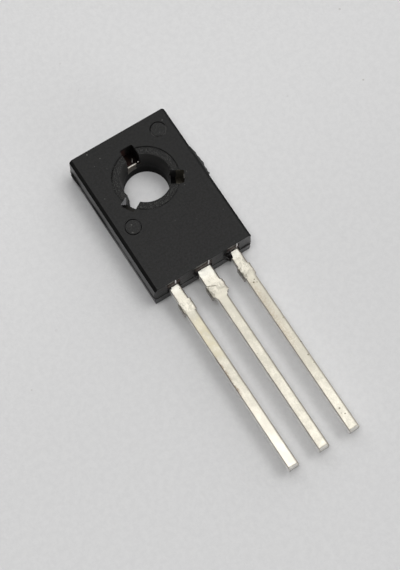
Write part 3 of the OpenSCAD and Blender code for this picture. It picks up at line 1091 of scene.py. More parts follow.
        # Painted light: the tin is painted less dull next to the moulding.
        dulled = graph.minus(dulled, graph.times(graph.spread(y, *self.root_light_span), 0.38))
        for noise, start, end, low, high in ((place.cloud, 0.35, 0.65, -0.10, 0.10),
                                             (place.mottle, 0.3, 0.7, -0.22, 0.22),
                                             (place.fine, 0.3, 0.7, -0.25, 0.25)):
            dulled = graph.plus(dulled, graph.spread(noise, start, end, low, high))
        dented = graph.spread(place.facets, 0.40, 0.60, -0.35, 0.55)
        return graph.plus(dulled, graph.times(place.pressed, dented))

    def _stains(self, place: TinPlace) -> list[tuple[Socket, tuple]]:
        """Masks the bright stretch, the stains and the tarnish on the leads, and the painted light at the roots.

        Args:
            place: the places and noises.

        Returns:
            Each mask with its colour, in the order in which they lie over each other.
        """
        graph = place.graph
        x, y = place.x, place.y
        on_left = graph.spread(x, *self.left_lead)
        brightened = graph.times(on_left, graph.spread(y, -14.8, -20.0))
        brightened = graph.times(brightened, graph.spread(place.fine, 0.25, 0.6, 0.30, 0.70))
        stain_and_painted_reflection = graph.times(on_left, self._between(place, self.stain_and_painted_reflection))
        stain_and_painted_reflection = graph.times(stain_and_painted_reflection, graph.spread(place.mottle, 0.25, 0.7, 0.1, 0.7))
        tarnished = graph.times(graph.spread(x, 2.62, 2.05), graph.spread(x, 1.2, 1.8))
        tarnished = graph.times(tarnished, self._between(place, self.tarnished))
        tarnished = graph.times(tarnished, graph.spread(place.fine, 0.38, 0.60, 0.05, 0.70))
        # Painted light: the roots next to the moulding are painted lighter, most on the middle lead.
        root_painted_light = graph.most(graph.times(place.middle, graph.spread(y, -8.05, -7.45, 0.0, 0.9)),
                                  graph.spread(y, -7.85, -7.35, 0.0, 0.75))
        return [(brightened, self.bright), (stain_and_painted_reflection, self.stain), (tarnished, self.tarnish),
                (root_painted_light, self.root)]

    def _flank_painted_light(self, place: TinPlace) -> Socket:
        """Paints light and shade on the sides: a pale painted reflection low down, painted shade along the upper
        edge, and on the cut ends a grey painted reflection over a dark painted shadow at the bottom.

        Args:
            place: the places.

        Returns:
            The colour.
        """
        graph = place.graph
        # Painted reflection low on the sides, painted shade along their upper edge.
        sides = graph.tint(graph.spread(place.z, 1.60, 1.70), self.flank_reflection, self.edge)
        # Painted shadow along the bottom of each cut end, in the speck colour, under a painted reflection.
        ends = graph.tint(graph.spread(place.z, 1.26, 1.32), self.speck, self.end)
        return graph.tint(graph.spread(graph.absolute(place.facing[1]), 0.3, 0.6), sides, ends)

    def _sheared(self, place: TinPlace) -> Socket:
        """Masks the ragged grey place at the left edge of each lead where the dam bar was cut off.

        Args:
            place: the places and noises.

        Returns:
            The mask.
        """
        graph = place.graph
        nearest = graph.times(graph.math("ROUND", graph.over(place.x, self.pitch)), self.pitch)
        widened = graph.spread(graph.absolute(place.x), *self.middle_lead, 0.0, 0.12)
        across = graph.plus(graph.minus(place.x, nearest),
                            graph.plus(widened, graph.spread(place.mottle, 0.3, 0.7, -0.12, 0.12)))
        return graph.times(self._between(place, self.stub), graph.spread(across, -0.22, -0.30),
                           graph.spread(place.fine, 0.35, 0.55, 0.35, 0.95))

    def _rusty(self, place: TinPlace) -> Socket:
        """Masks rust: the right edges near the roots and a peppered edge on the left lead.

        Args:
            place: the places and noises.

        Returns:
            The mask.
        """
        graph = place.graph
        right = graph.times(graph.spread(place.facing[0], 0.55, 0.85), graph.spread(place.y, -8.9, -8.3))
        ragged = graph.minus(place.x, graph.spread(place.mottle, 0.35, 0.65, 0.0, 0.11))
        left = graph.times(graph.spread(ragged, -2.58, -2.66), self._between(place, self.peppered),
                           graph.spread(place.fine, 0.40, 0.58, 0.20, 0.85))
        return graph.most(graph.times(right, 0.85), graph.times(left, 0.85))

    def _spots(self, place: TinPlace) -> Value:
        """Masks the few dark pits on the right lead, ragged by fine noise.

        Args:
            place: the places and noises.

        Returns:
            The mask.
        """
        graph = place.graph
        mask: Value = 0.0
        for spot_x, spot_y, radius in self.spots:
            away = graph.length(graph.minus(place.x, spot_x), graph.minus(place.y, spot_y))
            away = graph.plus(away, graph.times(graph.minus(place.fine, 0.5), 0.12))
            mask = graph.most(mask, graph.spread(away, radius + self.spot_softness,
                                                 radius - self.spot_softness, 0.0, 0.85))
        return mask

    def _pressed_line(self, place: TinPlace) -> Socket:
        """Masks the thin line that the press left across the left half of the middle lead.

        Args:
            place: the places and noises.

        Returns:
            The mask.
        """
        graph = place.graph
        from_line = graph.plus(graph.times(graph.plus(place.x, 0.5), 0.418),
                               graph.times(graph.plus(place.y, 8.35), 0.909))
        from_line = graph.plus(from_line, graph.times(graph.minus(place.mottle, 0.5), 0.10))
        line = graph.spread(graph.absolute(from_line), *self.line_half)
        inside = graph.times(graph.spread(place.x, -0.75, -0.68), graph.spread(place.x, 0.10, -0.05))
        return graph.times(line, inside, 0.9)


@dataclass(frozen=True)
class FrameMetalFinish(Finish):
    """Copper of the leadframe inside the moulding, browned by the moulding heat, tinned outside it."""

    name: str = "browned copper"
    copper: tuple = (0.014, 0.0075, 0.0062, 1.0)
    black: tuple = (0.004, 0.003, 0.0028, 1.0)
    grey: tuple = (0.014, 0.0135, 0.0125, 1.0)
    olive: tuple = (0.034, 0.031, 0.024, 1.0)
    tin: tuple = (0.40, 0.375, 0.315, 1.0)
    cut_face: tuple = (0.12, 0.10, 0.075, 1.0)
    end_wall: tuple = (-7.0, -7.1)
    relief: float = 0.006

    def make(self, effects: SharedEffects) -> Material:
        """Builds the material.

        Args:
            effects: the shared node groups.

        Returns:
            The material.
        """
        material, graph, shader = self.start()
        point = graph.place()
        x, y, _ = graph.split(point)
        flat = graph.spread(graph.absolute(graph.facing()[2]), 0.3, 0.8)
        cloud = graph.noise(point, 1.6, 3.0, 0.6)
        shear = graph.use(effects.strokes, Point=graph.stretch(point, 1.0, 1.0, 0.15), Width=0.05)
        grain = graph.use(effects.grain, Point=point, Size=0.08)

        # On the tab's top in the upper notch: copper on the left, black towards the right.
        coppery = graph.times(graph.spread(x, 0.05, -0.25), graph.spread(cloud, 0.70, 0.40))
        upper = graph.tint(coppery, self.black, self.copper)
        lower = graph.tint(graph.spread(x, -0.5, 0.5), self.grey, self.olive)
        lower = graph.tint(graph.spread(cloud, 0.35, 0.65, 0.0, 0.5), lower, self.black)
        far_side = graph.plus(graph.times(x, 0.5), graph.times(y, 0.866))
        shaded = graph.times(graph.spread(far_side, -0.15, -0.42), graph.spread(x, 1.0, 1.4))
        lower = graph.tint(graph.times(shaded, 0.9), lower, self.black)
        inside = graph.tint(graph.spread(y, 0.2, -0.2), upper, lower)
        inside = graph.tint(flat, self.cut_face, inside)
        colour = graph.tint(graph.spread(y, *self.end_wall), inside, self.tin)

        graph.feed(shader.inputs["Base Color"], colour)
        graph.feed(shader.inputs["Roughness"], graph.blend(flat, 0.4, 0.34))
        height = graph.blend(flat, shear["Height"], grain["Height"])
        graph.feed(shader.inputs["Normal"], graph.bump(height, self.relief))
        shader.inputs["Metallic"].default_value = 1.0
        return material


@dataclass(frozen=True)
class CloudyFinish(Finish):
    """Finish of a small piece: a colour and its cloudy variation over a fine grain."""

    colour: tuple
    variation: tuple
    metallic: float = 0.0
    roughness: float = 0.3
    roughness_range: float = 0.12
    grain_size: float = 0.05
    relief: float = 0.004

    def make(self, effects: SharedEffects) -> Material:
        """Builds the material.

        Args:
            effects: the shared node groups.

        Returns:
            The material.
        """
        material, graph, shader = self.start()
        point = graph.place()
        cloud = graph.noise(point, 3.0, 3.0, 0.6)
        grain = graph.use(effects.grain, Point=point, Size=self.grain_size)
        colour = graph.tint(graph.spread(cloud, 0.35, 0.65), self.colour, self.variation)
        roughest = self.roughness + self.roughness_range
        graph.feed(shader.inputs["Base Color"], colour)
        graph.feed(shader.inputs["Roughness"], graph.spread(grain["Height"], 0.3, 0.9, self.roughness, roughest))
        graph.feed(shader.inputs["Normal"], graph.bump(grain["Height"], self.relief))
        shader.inputs["Metallic"].default_value = self.metallic
        return material


@dataclass(frozen=True)
class CardFinish(Finish):
    """Pale card under the part, with a faint fibrous mottle and a few flecks."""

    name: str = "pale card"
    colour: tuple = (0.715, 0.714, 0.717, 1.0)
    mottle: tuple = (0.680, 0.679, 0.683, 1.0)
    fleck: tuple = (0.52, 0.51, 0.50, 1.0)
    shaded: tuple = (0.93, 0.93, 0.93, 1.0)
    roughness: float = 0.85
    gloss: float = 0.2
    relief: float = 0.01

    def make(self, effects: SharedEffects) -> Material:
        """Builds the material.

        Args:
            effects: the shared node groups.

        Returns:
            The material.
        """
        material, graph, shader = self.start()
        point = graph.place()
        cloud = graph.noise(point, 2.4, 5.0, 0.75)
        grain = graph.use(effects.grain, Point=point, Size=0.2)
        flecks = graph.use(effects.dust, Point=point, Spacing=1.7, Share=0.035, Radius=0.10)
        colour = graph.tint(graph.spread(cloud, 0.35, 0.65), self.colour, self.mottle)
        darker = graph.tint(1.0, colour, self.shaded, "MULTIPLY")
        colour = graph.tint(graph.spread(graph.split(point)[1], 6.0, -14.0), colour, darker)
        fleck = graph.times(flecks["Mask"], graph.spread(flecks["Shade"], 0.2, 1.0))
        graph.feed(shader.inputs["Base Color"], graph.tint(fleck, colour, self.fleck))
        graph.feed(shader.inputs["Normal"], graph.bump(grain["Height"], self.relief))
        shader.inputs["Roughness"].default_value = self.roughness
        shader.inputs["Specular IOR Level"].default_value = self.gloss
        return material


# The part's sub-assemblies


def dress(node: str, finish: Material) -> None:
    """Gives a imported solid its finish.

    Args:
        node: the solid's name.
        finish: the material.
    """
    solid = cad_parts[node]
    if not solid.material_slots:
        solid.data.materials.append(finish)
    for slot in solid.material_slots:
        slot.material = finish
    LOG.info("%s: finish %s", node, finish.name)


@dataclass
class LeadCoat:
    """Tin coat on one lead outside the moulding, with its sheared dam-bar stubs and cut tip."""

    name: str
    centre: float
    half_width: float = 0.36
    shoulder: float = 0.36
    shoulder_length: float = 2.0
    taper: float = 0.3
    bottom: float = 1.2
    top: float = 1.75
    wall: float = -7.15
    tip: float = -21.35
    coat: float = 0.012
    stub_start: float = 1.2
    stub_length: float = 0.85
    left_stub: float = 0.0735
    right_stub: float = 0.0805
    stub_torn: float = 0.06
    root_torn: float = 0.05
    waviness: float = 0.004
    roughness: float = 0.002
    right_roll: float = 0.172
    left_roll: float = 0.062
    low_roll: float = 0.03
    taper_roll: float = 0.03
    stub_roll: float = 0.05
    end_roll: float = 0.2
    stations: int = 620
    arc_points: int = 9
    side_points: tuple = (12, 16)
    seed: int = 3

    def half_widths(self, y: np.ndarray, side: int) -> np.ndarray:
        """Half width of the bare lead at each station.

        Formula: the shoulder's half width as far as the taper, then a straight taper to the
        lead's half width; over the stub its reach and a torn edge of layered noise are added, with
        both ends eased over 0.04 mm, and the root has a fainter ragged edge.

        Args:
            y: station places.
            side: -1 for the left edge, 1 for the right.

        Returns:
            Half widths.
        """
        out = self.wall - y
        part = np.clip((out - self.shoulder_length) / self.taper, 0, 1)
        plain = self.shoulder + (self.half_width - self.shoulder) * part
        start, end = self.stub_start, self.stub_start + self.stub_length
        stub = rise(out, start - 0.03, start + 0.01) * (1 - rise(out, end - 0.01, end + 0.04))
        edge_line = triples(3.0 * side, y, 0.0) + self.seed
        torn = np.abs(layered_noise(edge_line, 0.24, self.seed + 60, 3)) * self.stub_torn
        full = self.shoulder + (self.right_stub if side > 0 else self.left_stub) + torn
        ragged = np.abs(layered_noise(edge_line, 0.34, self.seed + 80, 3)) * self.root_torn
        ragged = ragged * rise(out, 0.05, 0.2) * (1 - rise(out, end, end + 0.2))
        return plain + (np.maximum(full, plain) - plain) * stub + ragged

    def section(self, y: np.ndarray) -> np.ndarray:
        """Rings of the coat, one for each station.

        Formula: a rectangle whose corners are arcs. Each corner's arc has its own radius, which is
        larger beside the stubs and smaller on the taper, and the straight sides between the arcs
        are divided evenly. Near the tip the upper side falls along a circle.

        Args:
            y: station places, shape (n,).

        Returns:
            Points, shape (n, m, 3).
        """
        count = len(y)
        left = -self.half_widths(y, -1) - self.coat
        right = self.half_widths(y, 1) + self.coat
        low = np.full(count, self.bottom - self.coat)
        high = np.full(count, self.top + self.coat)
        inward = np.clip((y - self.tip) / self.end_roll, 0, 1)
        high -= self.end_roll * (1 - np.sqrt(1 - (1 - inward) ** 2))
        out = self.wall - y
        start, end = self.shoulder_length, self.shoulder_length + self.taper
        tapering = rise(out, start - 0.06, start) * (1 - rise(out, end, end + 0.06))
        if self.shoulder <= self.half_width:
            tapering = np.zeros(count)
        roll_left = self.left_roll + (self.taper_roll - self.left_roll) * tapering
        stub_end = self.stub_start + self.stub_length
        stub = rise(out, self.stub_start, self.stub_start + 0.08) * (1 - rise(out, stub_end, stub_end + 0.15))
        roll_left = roll_left + self.stub_roll * stub
        roll_right = self.right_roll + (self.taper_roll - self.right_roll) * tapering
        roll_low = np.full(count, self.low_roll)
        corners = [(right, low, roll_low, -90.0), (right, high, roll_right, 0.0),
                   (left, high, roll_left, 90.0), (left, low, roll_low, 180.0)]
        turns = np.radians(np.linspace(0, 90, self.arc_points))
        middle_height = (self.bottom + self.top) / 2
        arcs = []
        for x, z, radius, first_angle in corners:
            angle = math.radians(first_angle) + turns
            inward_x = np.where(x > 0, x - radius, x + radius)
            inward_z = np.where(z > middle_height, z - radius, z + radius)
            arcs.append(np.stack([inward_x[:, None] + radius[:, None] * np.cos(angle),
                                  inward_z[:, None] + radius[:, None] * np.sin(angle)], axis=-1))
        blocks = []
        for index, arc in enumerate(arcs):
            after = arcs[(index + 1) % len(arcs)]
            part = np.linspace(0, 1, self.side_points[index % 2] + 2)[1:-1][None, :, None]
            blocks += [arc, arc[:, -1:, :] * (1 - part) + after[:, :1, :] * part]
        ring = np.concatenate(blocks, axis=1)
        along = np.broadcast_to(y[:, None, None], (*ring.shape[:2], 1))
        return np.concatenate([ring[..., :1] + self.centre, along, ring[..., 1:]], axis=-1)

    def make(self, finish: Material) -> Piece:
        """Builds the coat as a closed skin with uneven tin and a sheared tip.

        Formula: every ring is moved outwards from its middle by a long and a short layered noise;
        the last rings shrink towards the middle of the tip, which is slightly uneven.

        Args:
            finish: the tin finish.

        Returns:
            The object.
        """
        y = np.concatenate([np.linspace(self.wall + 0.02, self.tip + 0.25, self.stations),
                            self.tip - self.coat + 0.26 * (1 - np.linspace(0, 1, 14)[1:]) ** 1.6])
        rings = self.section(y)
        middle = np.array([self.centre, 0, (self.bottom + self.top) / 2])
        away = rings - middle
        away[..., 1] = 0
        away /= np.linalg.norm(away, axis=-1, keepdims=True)
        noise = layered_noise(rings + self.seed, 0.5, self.seed) * self.waviness
        noise += layered_noise(rings + self.seed, 0.12, self.seed + 20) * self.roughness
        fade = rise(self.wall - y, 0.0, 0.1)[:, None, None]
        rings = rings + away * noise[..., None] * fade
        end = rings[-1]
        shrink = np.array([0.96, 0.9, 0.7, 0.45, 0.2])[:, None, None]
        centre = end.mean(axis=0)
        cap = centre + (end - centre) * shrink
        cap[..., 1] += layered_noise(cap + 5, 0.2, self.seed + 40) * 0.008
        points, faces = capped_rings(np.concatenate([rings, cap]))
        return build_piece(self.name, points, faces, finish, 40.0)


@dataclass
class Leadframe:
    """The three leads with their tin coats, and the plate that the middle lead ends in."""

    pitch: float = 2.29

    def build(self, effects: SharedEffects) -> None:
        """Dresses the solids and adds the coats, the burrs and the cut face.

        Args:
            effects: the shared node groups.
        """
        tin = TinFinish().make(effects)
        metal = FrameMetalFinish().make(effects)
        burr = CloudyFinish("scraped metal", (0.97, 0.95, 0.90, 1.0), (0.75, 0.71, 0.64, 1.0),
                            metallic=0.5, roughness=0.34, relief=0.006).make(effects)
        scratch = CloudyFinish("dull scratch", (0.48, 0.46, 0.42, 1.0), (0.28, 0.26, 0.24, 1.0),
                               roughness=0.4).make(effects)
        cut = CloudyFinish("cut tab face", (0.105, 0.090, 0.066, 1.0), (0.060, 0.050, 0.036, 1.0),
                           roughness=0.45, relief=0.006).make(effects)
        for node in ("collector_lead", "emitter_lead", "base_lead"):
            dress(node, metal)
        LeadCoat("emitter_tin", -self.pitch, seed=3).make(tin)
        LeadCoat("collector_tin", 0.0, shoulder=0.53, seed=11).make(tin)
        LeadCoat("base_tin", self.pitch, seed=23).make(tin)
        PlateBurrs().build(burr, scratch)
        TabFace().make(cut)


@dataclass
class GateBreak:
    """Broken edge of the gate through which the compound was pressed into the mould."""

    wall: float = 3.75
    length: float = 3.4
    bottom: float = 1.2
    thickness: float = 0.5
    reach: float = 0.32
    shelf: float = 0.88
    proud: float = 0.014
    roughness: float = 0.024
    squareness: float = 0.55
    rows: int = 300
    columns: int = 72

    def profile(self, part: np.ndarray) -> np.ndarray:
        """Reach of the break along its length: a hump that peaks near two thirds, then a shelf.

        Formula: the larger of sin(180 p^1.5)^0.8 and a shelf from p 0.6 to 0.97, times 0.88 plus
        two small sine ripples.

        Args:
            part: fraction p of the length, shape (n,).

        Returns:
            Reach in millimetres, shape (n,).
        """
        angle = np.radians(180 * np.clip(part, 0, 1) ** 1.5)
        ripple = 0.88 + 0.09 * np.sin(np.radians(1150 * part)) + 0.06 * np.sin(np.radians(2630 * part))
        hump = np.clip(np.sin(angle), 0, None) ** 0.8
        shelf = self.shelf * rise(part, 0.55, 0.72) * (1 - rise(part, 0.955, 0.99))
        return self.reach * np.maximum(hump, shelf) * ripple

    def make(self, finish: Material) -> Piece:
        """Builds the break as a closed rough skin.

        Formula: at each place along the gate a half loop runs from inside the wall out to the
        gate's reach and back, a superellipse in x and z whose upper half leans back; layered noise
        roughens it where it stands off the wall.

        Args:
            finish: the broken-resin finish.

        Returns:
            The object.
        """
        part = np.linspace(0.0, 1.0, self.rows)
        reach = self.profile(part) + self.proud
        turn = np.radians(np.linspace(-90, 90, self.columns))
        across = np.abs(np.cos(turn)) ** self.squareness
        up = np.sign(np.sin(turn)) * np.abs(np.sin(turn)) ** self.squareness
        middle = self.bottom + self.thickness / 2
        half = self.thickness / 2 + 0.02
        x = self.wall - 0.07 + (reach[:, None] + 0.06) * across[None, :]
        z = np.broadcast_to(middle + half * up[None, :], x.shape)
        lean = (z - self.bottom) / self.thickness
        x = x - 0.22 * reach[:, None] * np.clip(lean - 0.5, 0, None) * across[None, :]
        y = np.broadcast_to((self.length / 2 - part * self.length)[:, None], x.shape)
        skin = triples(x, y, z)
        rough = layered_noise(skin, 0.16, 71, 4) * self.roughness
        fade = rise(x, self.wall - 0.03, self.wall + 0.05)
        skin[..., 0] += np.abs(rough) * fade
        skin[..., 2] += layered_noise(skin + 9, 0.2, 77, 3) * 0.012 * fade
        back = triples(self.wall - 0.2, y[:, :1], middle)
        points, faces = capped_rings(np.concatenate([skin, back], axis=1))
        return build_piece("gate_break", points, faces, finish, 60.0)


@dataclass
class RingTexture:
    """Rough relief of the ring round the screw hole, in three sectors between the notches."""

    inner: float = 1.745
    outer: float = 2.205
    floor: float = 2.56
    relief: float = 0.022
    lift: float = 0.004
    sunk: float = 0.02
    notch_half: float = 0.49
    sectors: tuple = (30.0, 150.0, 270.0)
    rows: int = 34
    columns: int = 300

    def make(self, finish: Material) -> list[Piece]:
        """Builds the three sectors.

        Formula: a point at radius r and share s lies at the angle between the two notches' sides,
        which at radius r start asin(notch half width / r) from the notch's middle; its height is
        the recess floor plus layered noise that fades at all edges.

        Args:
            finish: the moulding finish.

        Returns:
            The objects.
        """
        made = []
        for index, middle in enumerate(self.sectors):
            radius = np.linspace(self.inner, self.outer, self.rows)[:, None]
            share = np.linspace(-1, 1, self.columns)[None, :]
            spread = math.pi / len(self.sectors) - np.arcsin(self.notch_half / radius)
            angle = math.radians(middle) + share * spread
            x, y = radius * np.cos(angle), radius * np.sin(angle)
            flat = triples(x, y, 0.0)
            bumps = np.clip(layered_noise(flat, 0.062, 91, 2) * 1.5, -1, 1)
            edge = rise(radius, self.inner, self.inner + 0.05) * rise(-radius, -self.outer, -self.outer + 0.05)
            edge = edge * rise(1 - np.abs(share), 0.0, 0.03)
            z = self.floor + self.lift + edge * self.relief * (0.45 + 0.45 * bumps)
            made.append(build_slab(f"ring_texture_{index + 1}", triples(x, y, z),
                                   triples(x, y, self.floor - self.sunk), finish))
        return made


@dataclass
class EndWall:
    """Place of the moulding's end wall, from which the leads come out."""

    y: float = -7.15
    parting: float = 1.2
    top: float = 2.6
    front_draft: float = 0.05
    back_draft: float = 0.06
    ledge: float = 0.03
    sunk: float = 0.06

    def at(self, z: np.ndarray) -> np.ndarray:
        """Place of the wall along Y at a height.

        Formula: above the parting line the wall leans in by the front draft over its height; below
        it the wall stands back by the ledge and leans in by the back draft.

        Args:
            z: heights.

        Returns:
            Places along Y.
        """
        above = self.y + self.front_draft * (z - self.parting) / (self.top - self.parting)
        below = self.y + self.ledge + self.back_draft * (self.parting - z) / self.parting
        return np.where(z >= self.parting, above, below)

    def behind(self, z: np.ndarray) -> np.ndarray:
        """Place of the back of a scrap, sunk into the wall."""
        return self.at(z) + self.sunk


@dataclass
class RootFilm:
    """Thin ragged film of resin on the end wall above and beside one lead."""

    name: str
    centre: float
    half: float
    seed: int
    margin: float = 0.13
    low: float = 1.0
    high: float = 2.38
    thickness: float = 0.028
    hidden: float = 0.02
    step: float = 0.012

    def make(self, finish: Material) -> Piece:
        """Builds the film.

        Formula: the film's edge is the rectangle round the lead, moved by layered noise; inside it
        the film stands off the wall by its thickness times one plus noise, and outside it lies
        hidden inside the wall.

        Args:
            finish: the film's finish.

        Returns:
            The object.
        """
        reach = self.half + self.margin + 0.12
        x, z = np.meshgrid(np.arange(self.centre - reach, self.centre + reach, self.step),
                           np.arange(self.low - 0.1, self.high + 0.12, self.step), indexing="ij")
        flat = triples(x, self.seed, z)
        wobble = layered_noise(flat, 0.28, self.seed, 4) * 0.09
        inside = np.minimum(self.half + self.margin - np.abs(x - self.centre),
                            np.minimum(self.high - z, z - self.low)) + wobble
        cover = rise(inside, -0.015, 0.045)
        stand = self.thickness * (1 + 0.7 * layered_noise(flat, 0.14, self.seed + 7, 3))
        y = EndWall().at(z) - (cover * (stand + self.hidden) - self.hidden)
        return build_slab(self.name, triples(x, y, z), triples(x, EndWall().behind(z), z), finish)


@dataclass
class RootScrap:
    """Black glassy scrap of flash beside a lead's root, standing off the end wall."""

    name: str
    left: float
    right: float
    reach: float
    low: float
    high: float
    crest: float
    seed: int
    hidden: float = 0.02
    step: float = 0.010

    def make(self, finish: Material) -> Piece:
        """Builds the scrap as a height field on the wall.

        Formula: from left to right the reach rises as 3t^2 - 2t^3 over three quarters of the width
        and stays; upwards it is full as far as the crest and falls off to the top; creases, which
        follow the absolute value of smooth noise, break it into facets.

        Args:
            finish: the scrap's finish.

        Returns:
            The object.
        """
        pad = 0.06
        x, z = np.meshgrid(np.arange(self.left - pad, self.right + pad, self.step),
                           np.arange(self.low - pad, self.high + pad, self.step), indexing="ij")
        flat = triples(x, self.seed, z)
        width = self.right - self.left
        along = rise(x, self.left, self.left + 0.75 * width)
        along = along * (1 - rise(x, self.right - 0.02, self.right + 0.03))
        upwards = rise(z, self.low - 0.03, self.low + 0.03) * (1 - rise(z, self.crest, self.high))
        crease = 1 - 1.5 * np.abs(smooth_noise(flat / 0.15, self.seed))
        crease = crease + 0.35 * layered_noise(flat, 0.07, self.seed + 3, 3)
        stand = self.reach * along * upwards * np.clip(0.80 + 0.22 * crease, 0.15, 1.12)
        front = triples(x, EndWall().at(z) - stand + self.hidden, z)
        return build_slab(self.name, front, triples(x, EndWall().behind(z), z), finish)


@dataclass
class RootGlint:
    """Painted glint above a lead: a pale upright strand on the end wall that stands in for a highlight."""

    name: str
    x: float
    low: float
    high: float
    seed: int
    half_width: float = 0.045
    half_depth: float = 0.05

    def make(self, finish: Material) -> Piece:
        """Builds the glint as an upright strand that tapers to both ends and bends a little.

        Args:
            finish: the glint's pale finish.

        Returns:
            The object.
        """
        part = np.linspace(0, 1, 40)
        z = self.low + (self.high - self.low) * part
        bend = 0.03 * np.sin(math.pi * part + self.seed)
        path = triples(self.x + bend, EndWall().at(z) - 0.01 - 0.02 * np.sin(math.pi * part), z)
        taper = np.sqrt(np.clip(1 - (2 * part - 1) ** 2, 0, 1)) * 0.9 + 0.1
        return build_strand(self.name, path, self.half_width * taper, self.half_depth * taper,
                            (1, 0, 0), (0, 1, 0), self.seed, finish)


@dataclass
class PartingFin:
    """Fine fin of flash all round the parting line."""

    half_width: float = 3.75
    half_length: float = 5.45
    middle: float = -1.7
    corner: float = 0.25
    height: float = 1.2
    thickness: float = 0.035
    reach: float = 0.026
    end_wall: float = -7.1
    stations: int = 2400

    def outline(self) -> tuple[np.ndarray, np.ndarray]:
        """Walks round the parting line in even steps.

        Formula: the outline is a rectangle with round corners; along each straight side the outward
        direction is the side's, and round a corner it turns evenly by 90 degrees.

        Returns:
            Places and outward directions, each of shape (n, 2).
        """
        straight = [2 * (self.half_length - self.corner), 2 * (self.half_width - self.corner)] * 2
        arc = math.pi / 2 * self.corner
        total = sum(straight) + 4 * arc
        walk = np.linspace(0, total, self.stations, endpoint=False)
        places = np.zeros((self.stations, 2))
        outward = np.zeros((self.stations, 2))
        start = 0.0
        inner_x, inner_y = self.half_width - self.corner, self.half_length - self.corner
        corners = [(inner_x, inner_y), (-inner_x, inner_y), (-inner_x, -inner_y), (inner_x, -inner_y)]
        for index, length in enumerate(straight):
            facing = index * math.pi / 2
            normal = np.array([math.cos(facing), math.sin(facing)])
            ahead = np.array([-normal[1], normal[0]])
            corner = np.array(corners[index])
            on_side = (walk >= start) & (walk < start + length)
            back = (start + length - walk[on_side])[:, None]
            places[on_side] = corner + normal * self.corner - ahead * back
            outward[on_side] = normal
            start += length
            on_arc = (walk >= start) & (walk < start + arc)
            angle = facing + (walk[on_arc] - start) / self.corner
            turn = np.stack([np.cos(angle), np.sin(angle)], axis=-1)
            places[on_arc] = corner + turn * self.corner
            outward[on_arc] = turn
            start += arc
        return places + np.array([0, self.middle]), outward

    def make(self, finish: Material) -> Piece:
        """Builds the fin as a closed ring of thin wedge sections.

        Formula: the reach is the plain one times one plus layered noise; along the end wall it is
        wider and the section hangs lower, most between the right lead and the corner; seven points
        go round each section.

        Args:
            finish: the fin's finish.

        Returns:
            The object.
        """
        places, outward = self.outline()
        spot = np.concatenate([places, np.zeros((len(places), 1))], axis=1)
        reach = self.reach * (1 + 0.9 * layered_noise(spot, 0.5, 131, 4))
        at_end = (places[:, 1] < self.end_wall).astype(float)
        wedge = rise(places[:, 0], 2.7, 3.25) * (1 - rise(places[:, 0], 3.5, 3.7)) * at_end
        reach = np.clip(reach, 0.004, None) * (1 + 0.5 * at_end) + 0.05 * wedge
        out = np.array([-0.08, 0.0, 0.55, 1.0, 0.75, 0.3, -0.02])
        up = np.array([0.5, 1.0, 0.9, 0.45, 0.05, -0.15, -0.2])
        distance = np.where(out[None, :] < 0, out[None, :], out[None, :] * reach[:, None])
        skin = places[:, None, :] + outward[:, None, :] * distance[..., None]
        deeper = (1 + 0.6 * at_end + 3.2 * wedge)[:, None]
        height = self.height + self.thickness * np.where(up < 0.5, up * deeper - 0.4 * (deeper - 1), up)
        rings = np.concatenate([skin, height[..., None]], axis=-1)
        count, around = rings.shape[:2]
        rings = np.concatenate([rings, rings[:1]])
        faces = ring_quads(count + 1, around, closed=True) % (count * around)
        return build_piece("parting_fin", rings[:-1].reshape(-1, 3), [faces], finish, 60.0)


@dataclass
class TabFace:
    """Cut face of the plate's tab, which shows in the wall of the screw hole."""

    radius: float = 1.55
    proud: float = 0.008
    low: float = 0.9
    high: float = 1.452
    left: float = -0.53
    right: float = 0.16
    back: float = 1.64
    parting: float = 1.2
    flare: float = 0.035
    flare_height: float = 0.25
    raggedness: float = 0.12
    thickness: tuple = (0.0, 0.05, -0.03)

    def make(self, finish: Material) -> Piece:
        """Builds the face with the strip of the tab's top above it.

        Formula: each column runs up the hole's wall, a circle a little inside the wall's own, from
        the low to the high edge, and then back over the tab; noise makes the right end ragged.

        Args:
            finish: the cut metal's finish.

        Returns:
            The object.
        """
        share = np.linspace(0, 1, 70)[:, None]
        up = np.concatenate([np.linspace(0, 1, 40), np.ones(16)])[None, :]
        over = np.concatenate([np.zeros(40), np.linspace(0, 1, 17)[1:]])[None, :]
        ragged = layered_noise(triples(share * 0, up + over, 0.0), 0.25, 83)
        x = self.left + (self.right - self.left + self.raggedness * ragged) * share
        z = self.low + (self.high - self.low) * up + 0 * share
        wall = self.radius + self.flare * np.clip((z - self.parting) / self.flare_height, 0, 1) - self.proud
        y = np.sqrt(wall ** 2 - x ** 2)
        y = y + (self.back - y) * over
        top = triples(x, y, z)
        return build_slab("tab_cut_face", top, top + np.array(self.thickness), finish)


@dataclass(frozen=True)
class Burr:
    """One straight ridge: where it starts, how far it reaches and its half sizes."""

    name: str
    start: tuple
    reach: tuple
    half_width: float
    half_height: float
    across: tuple
    seed: int


